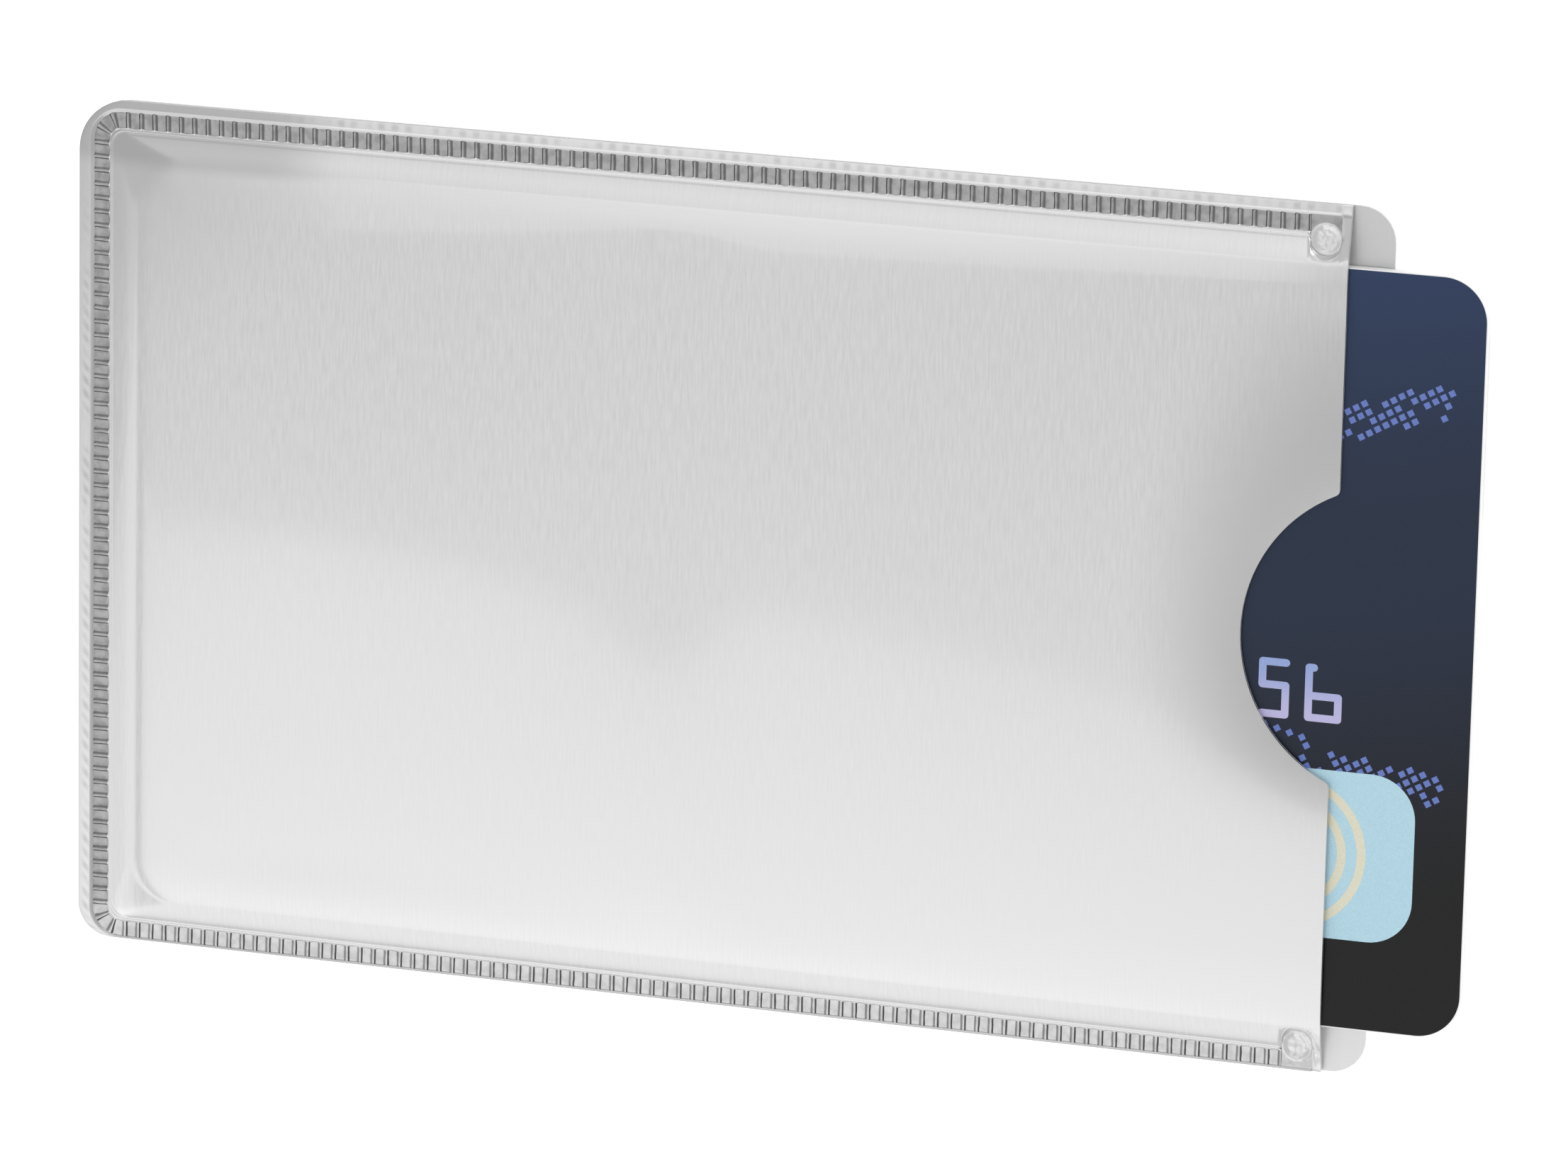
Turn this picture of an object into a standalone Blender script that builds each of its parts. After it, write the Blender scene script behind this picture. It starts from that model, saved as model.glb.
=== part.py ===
"""A shielding sleeve for one bank-size card, with its card partly drawn out.

The sleeve lies on its back. +X points to its open mouth, +Y across it and +Z out of
its front. The origin is the middle of the back sheet's underside. Lengths are in metres.
"""

import math

import bmesh
import bpy

# Card, to the standard size of bank cards
CARD_LENGTH = 0.08560
CARD_WIDTH = 0.05398
CARD_THICKNESS = 0.00076
CARD_CORNER_RADIUS = 0.00318
CARD_PULL_OUT = 0.01200

# Sheets of the sleeve: clear film, foil and lining film, laminated
COVER_FILM = 0.00010
FOIL = 0.00005
LINING_FILM = 0.00010
GLUE = 0.000015
MARGIN_UPPER = 0.00088
MARGIN_LOWER = 0.00015
MARGIN_END = 0.00115
SHEET_RADIUS_UPPER = 0.00370
SHEET_RADIUS_LOWER = 0.00240
LIP_LENGTH = 0.00300
LIP_RADIUS = 0.00250

# Pocket between the sheets
SLACK_SIDE = 0.00215
SLACK_END = 0.00240
MOUTH_COVER = 0.00220
CLEARANCE_SIDE = 0.00025
CLEARANCE_END = 0.00030
CLEARANCE_BELOW = 0.00010
CLEARANCE_ABOVE = 0.00020

# Thumb notch in the front sheet
NOTCH_RADIUS = 0.01128
NOTCH_DEPTH = 0.00665
NOTCH_FROM_MIDDLE = 0.00050
NOTCH_FILLET = 0.00045

# Knurled weld seam, pressed into a channel of the front sheet
SEAM_WIDTH = 0.00115
SEAM_INNER_RADIUS = 0.00085
SEAM_FIT = 0.00003
SEAM_END_FIT = 0.00004
WELD_GLUE = 0.00002
CHANNEL_DEPTH = 0.00012
CHANNEL_WALL_RUN = 0.00004
PAD_PITCH = 0.00100
PAD_RIM = 0.00010
PAD_SLOPE_RUN = 0.00007
PAD_DEPTH = 0.00007
SEAM_STAND_OUT = 0.00003

# Melted dots that end the seam at the mouth
DOT_FROM_MOUTH = 0.00175
DOT_RADIUS_SHARE = 0.58
DOT_OFFSET_SHARE = 0.23
DOT_BASE_SHARE = 0.45
BEAD_RADIUS_SHARE = 0.86
BEAD_HEIGHT = 0.00010
BEAD_ROOT = 0.00002

# Layers of the card
OVERLAY = 0.00005
PRINT_SHEET = 0.00013
CARD_BOND = 0.00001

# Chip module, at the standard place of a card's contacts
CHIP_FROM_END = 0.01506
CHIP_FROM_TOP = 0.02389
CHIP_LENGTH = 0.01300
CHIP_WIDTH = 0.01180
CHIP_PLATE = 0.00013
CHIP_CORNER_RADIUS = 0.00180
CHIP_FIT = 0.00006
CONTACT_LENGTH_SHARE = 0.27
CONTACT_ROWS = 4
CONTACT_GROOVE = 0.00022
CONTACT_RAISE = 0.00003
RESIN_LENGTH = 0.00840
RESIN_WIDTH = 0.00760
RESIN_DEPTH = 0.00026
RESIN_CORNER_RADIUS = 0.00150
RESIN_POCKET_GAP = 0.00003

# Flat antenna coil, let into the core
ANTENNA_FROM_EDGE = 0.00240
ANTENNA_TURNS = 4
ANTENNA_PITCH = 0.00080
ANTENNA_TRACK = 0.00030
ANTENNA_THICKNESS = 0.00006
ANTENNA_GROOVE_DEPTH = 0.00009

# Stripe and writing strip, let into the card's back
STRIPE_FROM_TOP = 0.00410
STRIPE_WIDTH = 0.01270
PANEL_FROM_STRIPE = 0.00350
PANEL_FROM_END = 0.00700
PANEL_LENGTH = 0.06300
PANEL_WIDTH = 0.01000
INLAY_THICKNESS = 0.000015
INLAY_RECESS = 0.000025
INLAY_FIT = 0.00004

# One overrun for every cutter
OVERRUN = 0.00050

# Steps that round stretches are drawn with
CORNER_STEPS = 8
NOTCH_STEPS = 28
FILLET_STEPS = 4
DOT_STEPS = 10
RISE_STEPS = 6
BEAD_STEPS = 20
BEAD_RINGS = 4
SEAM_CORNER_CELLS = 3
SEAM_CELL_STEPS = 3
QUARTER = math.pi / 2
SMOOTH_ANGLE = math.radians(30)

# Looks: colour, roughness, metallic
CLEAR_FILM = ((0.78, 0.79, 0.80), 0.22, 0.0)
BRIGHT_FOIL = ((0.80, 0.80, 0.81), 0.30, 1.0)
INNER_FILM = ((0.70, 0.71, 0.72), 0.40, 0.0)
MELTED_FILM = ((0.52, 0.52, 0.52), 0.30, 0.0)
CARD_GLOSS = ((0.05, 0.07, 0.15), 0.25, 0.0)
CARD_INK = ((0.04, 0.06, 0.13), 0.45, 0.0)
CARD_WHITE = ((0.85, 0.85, 0.84), 0.45, 0.0)
COPPER = ((0.72, 0.39, 0.22), 0.35, 1.0)
CONTACT_GOLD = ((0.83, 0.66, 0.35), 0.25, 1.0)
BLACK_RESIN = ((0.03, 0.03, 0.03), 0.60, 0.0)
STRIPE_BROWN = ((0.05, 0.035, 0.03), 0.35, 0.0)
WRITING_WHITE = ((0.80, 0.80, 0.76), 0.75, 0.0)

# Plan of the sleeve, worked out from the card and its slack
SHEET_WIDTH = MARGIN_LOWER + MARGIN_UPPER + 2 * (SEAM_WIDTH + SLACK_SIDE) + CARD_WIDTH
FRONT_LENGTH = MARGIN_END + SEAM_WIDTH + SLACK_END + CARD_LENGTH + MOUTH_COVER
BACK_LENGTH = FRONT_LENGTH + LIP_LENGTH
LEFT = -BACK_LENGTH / 2
RIGHT = BACK_LENGTH / 2
MOUTH = LEFT + FRONT_LENGTH
HIGH = SHEET_WIDTH / 2
LOW = -SHEET_WIDTH / 2
SEAM_LEFT = LEFT + MARGIN_END
SEAM_HIGH = HIGH - MARGIN_UPPER
SEAM_LOW = LOW + MARGIN_LOWER
SEAM_OUTER_RADIUS = SEAM_INNER_RADIUS + SEAM_WIDTH
NOTCH_Y = (HIGH + LOW) / 2 + NOTCH_FROM_MIDDLE

# Place of the card at rest
CARD_X = SEAM_LEFT + SEAM_WIDTH + SLACK_END + CARD_PULL_OUT + CARD_LENGTH / 2
CARD_Y = (SEAM_HIGH + SEAM_LOW) / 2

# Heights of the layers above the table
BACK_FOIL_Z = COVER_FILM + GLUE
BACK_LINING_Z = BACK_FOIL_Z + FOIL + GLUE
BACK_TOP = BACK_LINING_Z + LINING_FILM
CARD_BOTTOM = BACK_TOP + CLEARANCE_BELOW
CHANNEL_Z = BACK_TOP + WELD_GLUE
POCKET_RISE = CARD_BOTTOM + CARD_THICKNESS + CLEARANCE_ABOVE - CHANNEL_Z
FRONT_FOIL_LIFT = LINING_FILM + GLUE
FRONT_COVER_LIFT = FRONT_FOIL_LIFT + FOIL + GLUE
SEAM_BOTTOM = CHANNEL_Z + FRONT_COVER_LIFT + COVER_FILM + GLUE
SEAM_HEIGHT = CHANNEL_DEPTH + SEAM_STAND_OUT - GLUE

# Dots, sized by the room between the seam and the card's channel
DOT_ROOM = SLACK_SIDE - CLEARANCE_SIDE
DOT_RADIUS = DOT_RADIUS_SHARE * DOT_ROOM
DOT_OFFSET = DOT_OFFSET_SHARE * DOT_ROOM
DOT_X = MOUTH - DOT_FROM_MOUTH
BEAD_RADIUS = DOT_RADIUS * BEAD_RADIUS_SHARE

# Heights of the card's layers above the card's own underside
BACK_PRINT_Z = OVERLAY + CARD_BOND
CORE_Z = BACK_PRINT_Z + PRINT_SHEET + CARD_BOND
CORE_THICKNESS = CARD_THICKNESS - 2 * (OVERLAY + PRINT_SHEET + 2 * CARD_BOND)
CORE_TOP = CORE_Z + CORE_THICKNESS
FRONT_PRINT_Z = CORE_TOP + CARD_BOND
FRONT_OVERLAY_Z = FRONT_PRINT_Z + PRINT_SHEET + CARD_BOND
CHIP_X = CHIP_FROM_END - CARD_LENGTH / 2
CHIP_Y = CARD_WIDTH / 2 - CHIP_FROM_TOP
CHIP_Z = CARD_THICKNESS - CHIP_PLATE - CONTACT_RAISE
RESIN_Z = CHIP_Z - CARD_BOND - RESIN_DEPTH
STRIPE_Y = CARD_WIDTH / 2 - STRIPE_FROM_TOP - STRIPE_WIDTH / 2
PANEL_X = PANEL_FROM_END + PANEL_LENGTH / 2 - CARD_LENGTH / 2
PANEL_Y = STRIPE_Y - STRIPE_WIDTH / 2 - PANEL_FROM_STRIPE - PANEL_WIDTH / 2


# Outlines, as lists of (x, y) points


def arc(centre_x, centre_y, radius, start, stop, steps):
    """Points along an arc, both ends among them."""
    points = []
    for i in range(steps + 1):
        angle = start + (stop - start) * i / steps
        points.append((centre_x + radius * math.cos(angle), centre_y + radius * math.sin(angle)))
    return points


def circle(centre_x, centre_y, radius, steps):
    return arc(centre_x, centre_y, radius, 0, 2 * math.pi, steps)[:-1]


def rounded_outline(left, right, low, high, radii):
    """A rectangle with round corners: upper right, upper left, lower left, lower right."""
    corners = (
        (right, high, -1, -1),
        (left, high, 1, -1),
        (left, low, 1, 1),
        (right, low, -1, 1),
    )
    points = []
    for turn, ((x, y, inward_x, inward_y), radius) in enumerate(zip(corners, radii)):
        centre_x = x + inward_x * radius
        centre_y = y + inward_y * radius
        start = turn * QUARTER
        points += arc(centre_x, centre_y, radius, start, start + QUARTER, CORNER_STEPS)
    return points


def rounded_block(x, y, length, width, radius):
    """A round-cornered rectangle about a point."""
    left = x - length / 2
    low = y - width / 2
    return rounded_outline(left, left + length, low, low + width, (radius,) * 4)


def rectangle(x, y, length, width):
    corners = ((1, 1), (-1, 1), (-1, -1), (1, -1))
    return [(x + side_x * length / 2, y + side_y * width / 2) for side_x, side_y in corners]


# Solids made from outlines


def finish_for(name, look):
    """A material of the piece's own."""
    colour, roughness, metallic = look
    made = bpy.data.materials.new(name + "_finish")
    made.use_nodes = True
    shader = made.node_tree.nodes["Principled BSDF"]
    shader.inputs["Base Color"].default_value = (*colour, 1)
    shader.inputs["Roughness"].default_value = roughness
    shader.inputs["Metallic"].default_value = metallic
    return made


def new_object(name, work, look):
    """An object from the worked mesh, with smooth round stretches."""
    bmesh.ops.recalc_face_normals(work, faces=work.faces)
    mesh = bpy.data.meshes.new(name)
    work.to_mesh(mesh)
    work.free()
    mesh.materials.append(finish_for(name, look))
    mesh.shade_smooth()
    mesh.set_sharp_from_angle(angle=SMOOTH_ANGLE)
    made = bpy.data.objects.new(name, mesh)
    bpy.context.scene.collection.objects.link(made)
    return made


def raised_copy(work, faces, height):
    """Closes an open surface into a solid of the given height; returns the moved faces."""
    made = bmesh.ops.extrude_face_region(work, geom=faces, use_keep_orig=True)["geom"]
    points = [item for item in made if isinstance(item, bmesh.types.BMVert)]
    bmesh.ops.translate(work, verts=points, vec=(0, 0, height))
    bmesh.ops.recalc_face_normals(work, faces=work.faces)
    return [item for item in made if isinstance(item, bmesh.types.BMFace)]


def plate(name, outline, bottom, thickness, look):
    """A flat plate of the given outline."""
    work = bmesh.new()
    work.faces.new([work.verts.new((x, y, bottom)) for x, y in outline])
    raised_copy(work, list(work.faces), thickness)
    return new_object(name, work, look)


def band_surface(work, first, second, closed):
    """Faces between two rows of vertices."""
    count = len(first) if closed else len(first) - 1
    for i in range(count):
        j = (i + 1) % len(first)
        work.faces.new((first[i], first[j], second[j], second[i]))


def cut(target, cutter, operation="DIFFERENCE"):
    """A Boolean on the target by a solid that doesn't show."""
    cutter.hide_render = True
    cutter.display_type = "WIRE"
    modifier = target.modifiers.new(cutter.name, "BOOLEAN")
    modifier.operation = operation
    modifier.solver = "EXACT"
    modifier.object = cutter


# Front sheet: rings from its cut edge, down into the seam's channel and up over the card


def dot_stations():
    """The channel's inner edge round a dot, as distance from the mouth and reach inwards."""
    reach = DOT_RADIUS + SEAM_FIT
    bulge = arc(DOT_FROM_MOUTH, DOT_OFFSET, reach, math.pi, 0, DOT_STEPS)
    return [(DOT_FROM_MOUTH - reach, 0)] + bulge + [(DOT_FROM_MOUTH + reach, 0)]


def plain_stations():
    """As many places, spread evenly along a straight run."""
    bulge = dot_stations()
    first = bulge[0][0] / 2
    gap = (bulge[-1][0]) / (len(bulge) - 1)
    return [(first + gap * i, 0) for i in range(len(bulge))]


def open_ring(left, low, high, radius_low, radius_high, stations):
    """Points from the mouth's upper side round the closed end to the mouth's lower side."""
    points = [(MOUTH, high)]
    points += [(MOUTH - away, high - inward) for away, inward in stations]
    points += arc(
        left + radius_high, high - radius_high, radius_high, QUARTER, 2 * QUARTER, CORNER_STEPS
    )
    points += arc(
        left + radius_low, low + radius_low, radius_low, 2 * QUARTER, 3 * QUARTER, CORNER_STEPS
    )
    points += [(MOUTH - away, low + inward) for away, inward in reversed(stations)]
    points.append((MOUTH, low))
    return points


def seam_ring(outset, radius, stations):
    """A ring that runs at a distance outside the seam's outer edge."""
    return open_ring(
        SEAM_LEFT - outset, SEAM_LOW - outset, SEAM_HIGH + outset, radius, radius, stations
    )


def card_channel_ring():
    """The outline that the card runs in, up to where its closed end stops it."""
    reach = CARD_WIDTH / 2 + CLEARANCE_SIDE
    radius = CARD_CORNER_RADIUS + CLEARANCE_SIDE
    stop = SEAM_LEFT + SEAM_WIDTH + SLACK_END - CLEARANCE_END
    return open_ring(stop, CARD_Y - reach, CARD_Y + reach, radius, radius, plain_stations())


def blend(first, second, share):
    """A ring part of the way from one ring to another."""
    return [
        (ax + (bx - ax) * share, ay + (by - ay) * share)
        for (ax, ay), (bx, by) in zip(first, second)
    ]


def front_rings():
    """Each ring of the front sheet's underside, with its height over the channel's floor."""
    plain = plain_stations()
    wall = SEAM_FIT + CHANNEL_WALL_RUN
    edge = open_ring(LEFT, LOW, HIGH, SHEET_RADIUS_LOWER, SHEET_RADIUS_UPPER, plain)
    wall_top = seam_ring(wall, SEAM_OUTER_RADIUS + wall, plain)
    floor_outer = seam_ring(SEAM_FIT, SEAM_OUTER_RADIUS + SEAM_FIT, plain)
    floor_inner = seam_ring(-SEAM_WIDTH - SEAM_FIT, SEAM_INNER_RADIUS - SEAM_FIT, dot_stations())
    over_card = card_channel_ring()
    rings = [(edge, CHANNEL_DEPTH), (wall_top, CHANNEL_DEPTH), (floor_outer, 0), (floor_inner, 0)]
    for i in range(1, RISE_STEPS + 1):
        share = i / RISE_STEPS
        height = POCKET_RISE * (1 - math.cos(math.pi * share)) / 2
        rings.append((blend(floor_inner, over_card, share), height))
    return rings


def notch_points():
    """The mouth's edge from lower to upper side, round the thumb notch and its soft corners."""
    centre_x = MOUTH + NOTCH_RADIUS - NOTCH_DEPTH
    fillet_x = MOUTH - NOTCH_FILLET
    reach = NOTCH_RADIUS + NOTCH_FILLET
    fillet_y = math.sqrt(reach * reach - (centre_x - fillet_x) ** 2)
    lean = math.asin(fillet_y / reach)
    bite = arc(centre_x, NOTCH_Y, NOTCH_RADIUS, math.pi + lean, math.pi - lean, NOTCH_STEPS)
    lower = arc(fillet_x, NOTCH_Y - fillet_y, NOTCH_FILLET, 0, lean, FILLET_STEPS)
    upper = arc(fillet_x, NOTCH_Y + fillet_y, NOTCH_FILLET, -lean, 0, FILLET_STEPS)
    return lower + bite[1:-1] + upper


def front_sheet(name, lift, thickness, look):
    """One ply of the front sheet."""
    work = bmesh.new()
    rings = [
        [work.verts.new((x, y, CHANNEL_Z + lift + height)) for x, y in points]
        for points, height in front_rings()
    ]
    for outer, inner in zip(rings, rings[1:]):
        band_surface(work, outer, inner, closed=False)
    level = CHANNEL_Z + lift + POCKET_RISE
    mouth = [work.verts.new((x, y, level)) for x, y in notch_points()]
    work.faces.new(rings[-1] + mouth)
    raised_copy(work, list(work.faces), thickness)
    return new_object(name, work, look)


def back_sheet(name, bottom, thickness, look):
    """One ply of the back sheet, whose lip reaches past the mouth."""
    radii = (LIP_RADIUS, SHEET_RADIUS_UPPER, SHEET_RADIUS_LOWER, LIP_RADIUS)
    return plate(name, rounded_outline(LEFT, RIGHT, LOW, HIGH, radii), bottom, thickness, look)


# Weld seam: a band of pads, each pressed down inside its own rim


def straight_cells(start, end, side):
    """Pad outlines between two centreline points, side pointing to the band's outer edge."""
    count = max(1, round(math.dist(start, end) / PAD_PITCH))
    half_x = side[0] * SEAM_WIDTH / 2
    half_y = side[1] * SEAM_WIDTH / 2
    step_x = (end[0] - start[0]) / count
    step_y = (end[1] - start[1]) / count
    cells = []
    for i in range(count):
        ax = start[0] + step_x * i
        ay = start[1] + step_y * i
        bx = ax + step_x
        by = ay + step_y
        inner = [(ax - half_x, ay - half_y), (bx - half_x, by - half_y)]
        outer = [(bx + half_x, by + half_y), (ax + half_x, ay + half_y)]
        cells.append((inner, outer))
    return cells


def corner_cells(centre_x, centre_y, start):
    """Wedge-shaped pads round a quarter turn."""
    cells = []
    for i in range(SEAM_CORNER_CELLS):
        begin = start + QUARTER * i / SEAM_CORNER_CELLS
        stop = start + QUARTER * (i + 1) / SEAM_CORNER_CELLS
        inner = arc(centre_x, centre_y, SEAM_INNER_RADIUS, begin, stop, SEAM_CELL_STEPS)
        outer = arc(centre_x, centre_y, SEAM_OUTER_RADIUS, stop, begin, SEAM_CELL_STEPS)
        cells.append((inner, outer))
    return cells


def seam_cells():
    """Every pad's outline, from the mouth's upper side round to its lower side."""
    end_x = DOT_X - DOT_RADIUS - SEAM_END_FIT
    turn_x = SEAM_LEFT + SEAM_OUTER_RADIUS
    turn_high = SEAM_HIGH - SEAM_OUTER_RADIUS
    turn_low = SEAM_LOW + SEAM_OUTER_RADIUS
    mid_high = SEAM_HIGH - SEAM_WIDTH / 2
    mid_low = SEAM_LOW + SEAM_WIDTH / 2
    mid_left = SEAM_LEFT + SEAM_WIDTH / 2
    cells = straight_cells((end_x, mid_high), (turn_x, mid_high), (0, 1))
    cells += corner_cells(turn_x, turn_high, QUARTER)
    cells += straight_cells((mid_left, turn_high), (mid_left, turn_low), (-1, 0))
    cells += corner_cells(turn_x, turn_low, 2 * QUARTER)
    cells += straight_cells((turn_x, mid_low), (end_x, mid_low), (0, -1))
    return cells


def seam_surface(work, cells):
    """The band's underside, one face for each pad."""
    first_inner, first_outer = cells[0]
    last_inner = work.verts.new((*first_inner[0], SEAM_BOTTOM))
    last_outer = work.verts.new((*first_outer[-1], SEAM_BOTTOM))
    for inner, outer in cells:
        near = [last_inner] + [work.verts.new((x, y, SEAM_BOTTOM)) for x, y in inner[1:]]
        far = [work.verts.new((x, y, SEAM_BOTTOM)) for x, y in outer[:-1]] + [last_outer]
        work.faces.new(near + far)
        last_inner = near[-1]
        last_outer = far[0]


def weld_seam(look):
    """The knurled band that holds the two sheets together."""
    work = bmesh.new()
    cells = seam_cells()
    seam_surface(work, cells)
    pads = raised_copy(work, list(work.faces), SEAM_HEIGHT)
    bmesh.ops.inset_individual(work, faces=pads, thickness=PAD_RIM, use_even_offset=True)
    bmesh.ops.inset_individual(
        work, faces=pads, thickness=PAD_SLOPE_RUN, depth=-PAD_DEPTH, use_even_offset=True
    )
    print("pads in the seam:", len(cells))
    return new_object("weld_seam", work, look)


def bead(name, x, y, bottom, look):
    """A low round drop with a short root."""
    work = bmesh.new()
    rings = [[work.verts.new((*p, bottom - BEAD_ROOT)) for p in circle(x, y, BEAD_RADIUS, BEAD_STEPS)]]
    for i in range(BEAD_RINGS):
        angle = QUARTER * i / BEAD_RINGS
        height = bottom + BEAD_HEIGHT * math.sin(angle)
        points = circle(x, y, BEAD_RADIUS * math.cos(angle), BEAD_STEPS)
        rings.append([work.verts.new((*p, height)) for p in points])
    for lower, upper in zip(rings, rings[1:]):
        band_surface(work, lower, upper, closed=True)
    work.faces.new(rings[0])
    crown = work.verts.new((x, y, bottom + BEAD_HEIGHT))
    for i in range(BEAD_STEPS):
        work.faces.new((rings[-1][i], rings[-1][(i + 1) % BEAD_STEPS], crown))
    return new_object(name, work, look)


def seam_end(name, seam_edge, inward, look):
    """The seam's plain end and its dot; inward is -1 at the upper side and 1 at the lower."""
    dot_y = seam_edge + inward * (SEAM_WIDTH + DOT_OFFSET)
    tip = arc(DOT_X, dot_y, DOT_RADIUS, 0, inward * math.pi, DOT_STEPS)
    outline = [(DOT_X + DOT_RADIUS, seam_edge)] + tip + [(DOT_X - DOT_RADIUS, seam_edge)]
    base = DOT_BASE_SHARE * SEAM_HEIGHT
    made = plate(name, outline, SEAM_BOTTOM, base, look)
    cut(made, bead(name + "_bead", DOT_X, dot_y, SEAM_BOTTOM + base, look), "UNION")


# Card, drawn about its own middle


def card_outline(inset=0.0):
    """The card's outline, or one that runs inside it."""
    radius = max(CARD_CORNER_RADIUS - inset, CARD_CORNER_RADIUS / 2)
    return rounded_block(0, 0, CARD_LENGTH - 2 * inset, CARD_WIDTH - 2 * inset, radius)


def card_layer(name, bottom, thickness, look):
    return plate(name, card_outline(), bottom, thickness, look)


def chip_pocket(name, length, width, radius, bottom):
    """A cutter for a round-cornered pocket at the chip's place, open upwards."""
    outline = rounded_block(
        CHIP_X, CHIP_Y, length + 2 * CHIP_FIT, width + 2 * CHIP_FIT, radius + CHIP_FIT
    )
    return plate(name, outline, bottom, CARD_THICKNESS + OVERRUN - bottom, CARD_WHITE)


def contact_grid():
    """The contact plate's top as fields in columns and rows, a little past its outline."""
    work = bmesh.new()
    column = CHIP_LENGTH * CONTACT_LENGTH_SHARE
    half = CHIP_LENGTH / 2
    side = CHIP_WIDTH / 2
    row = CHIP_WIDTH / CONTACT_ROWS
    xs = (-half - OVERRUN, column - half, half - column, half + OVERRUN)
    ys = [-side - OVERRUN]
    ys += [row * i - side for i in range(1, CONTACT_ROWS)]
    ys.append(side + OVERRUN)
    top = CHIP_Z + CHIP_PLATE
    grid = [[work.verts.new((CHIP_X + x, CHIP_Y + y, top)) for y in ys] for x in xs]
    for near, far in ((grid[0], grid[1]), (grid[2], grid[3])):
        band_surface(work, near, far, closed=False)
    work.faces.new(grid[1][::-1] + grid[2])
    return work


def chip_contact_plate(look):
    """Raised contact fields parted by grooves, trimmed to the plate's round corners."""
    work = contact_grid()
    raised_copy(work, list(work.faces), -CHIP_PLATE)
    fields = [face for face in work.faces if face.normal.z > 1 / 2]
    bmesh.ops.inset_individual(work, faces=fields, thickness=CONTACT_GROOVE / 2)
    bmesh.ops.inset_individual(work, faces=fields, thickness=CONTACT_RAISE, depth=CONTACT_RAISE)
    made = new_object("chip_contact_plate", work, look)
    outline = rounded_block(CHIP_X, CHIP_Y, CHIP_LENGTH, CHIP_WIDTH, CHIP_CORNER_RADIUS)
    trim = plate("chip_trim", outline, CHIP_Z - OVERRUN, CHIP_PLATE + 2 * OVERRUN, look)
    cut(made, trim, "INTERSECT")
    return [made, trim]


def chip_encapsulation(look):
    """The resin drop below the contacts."""
    outline = rounded_block(CHIP_X, CHIP_Y, RESIN_LENGTH, RESIN_WIDTH, RESIN_CORNER_RADIUS)
    return plate("chip_encapsulation", outline, RESIN_Z, RESIN_DEPTH, look)


def antenna_edges():
    """Both edges of the coil's track, wound inwards from the card's edge."""
    count = len(card_outline())
    edges = ([], [])
    for step in range(ANTENNA_TURNS * count):
        outline = card_outline(ANTENNA_FROM_EDGE + ANTENNA_PITCH * (step / count + 1 / 2))
        i = step % count
        x, y = outline[i]
        ahead_x, ahead_y = outline[(i + 1) % count]
        along_x = ahead_x - outline[i - 1][0]
        along_y = ahead_y - outline[i - 1][1]
        half = ANTENNA_TRACK / 2 / math.hypot(along_x, along_y)
        for edge, side in zip(edges, (1, -1)):
            edge.append((-x + side * along_y * half, y + side * along_x * half))
    return edges


def antenna_coil(look):
    """A flat spiral track on the floor of its groove."""
    work = bmesh.new()
    bottom = CORE_TOP - ANTENNA_GROOVE_DEPTH + CARD_BOND
    outer, inner = [[work.verts.new((x, y, bottom)) for x, y in edge] for edge in antenna_edges()]
    band_surface(work, outer, inner, closed=False)
    raised_copy(work, list(work.faces), ANTENNA_THICKNESS)
    return new_object("card_antenna", work, look)


def antenna_groove(look):
    """A cutter for the ring-shaped recess that the coil lies in."""
    work = bmesh.new()
    bottom = CORE_TOP - ANTENNA_GROOVE_DEPTH
    reach = ANTENNA_FROM_EDGE + (ANTENNA_TURNS + 1) * ANTENNA_PITCH
    outer, inner = [
        [work.verts.new((x, y, bottom)) for x, y in card_outline(inset)]
        for inset in (ANTENNA_FROM_EDGE, reach)
    ]
    band_surface(work, outer, inner, closed=True)
    raised_copy(work, list(work.faces), ANTENNA_GROOVE_DEPTH + OVERRUN)
    return new_object("antenna_groove", work, look)


def back_recess(name, x, y, length, width, look):
    """A cutter for a shallow recess in the card's back, open downwards."""
    outline = rectangle(x, y, length + 2 * INLAY_FIT, width + 2 * INLAY_FIT)
    return plate(name, outline, -OVERRUN, OVERRUN + INLAY_RECESS, look)


def card_back():
    """The layers below the core, with the stripe and the writing strip let in flush."""
    overlay = card_layer("card_back_overlay", 0, OVERLAY, CARD_GLOSS)
    printed = card_layer("card_back_print", BACK_PRINT_Z, PRINT_SHEET, CARD_INK)
    stripe_place = (0, STRIPE_Y)
    panel_place = (PANEL_X, PANEL_Y)
    through = CARD_LENGTH + 2 * OVERRUN
    stripe_recess = back_recess("stripe_recess", *stripe_place, through, STRIPE_WIDTH, CARD_GLOSS)
    panel_recess = back_recess("panel_recess", *panel_place, PANEL_LENGTH, PANEL_WIDTH, CARD_GLOSS)
    cut(overlay, stripe_recess)
    cut(overlay, panel_recess)
    stripe_outline = rectangle(*stripe_place, CARD_LENGTH, STRIPE_WIDTH)
    panel_outline = rectangle(*panel_place, PANEL_LENGTH, PANEL_WIDTH)
    stripe = plate("magnetic_stripe", stripe_outline, 0, INLAY_THICKNESS, STRIPE_BROWN)
    panel = plate("signature_panel", panel_outline, 0, INLAY_THICKNESS, WRITING_WHITE)
    return [overlay, printed, stripe_recess, panel_recess, stripe, panel]


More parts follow.
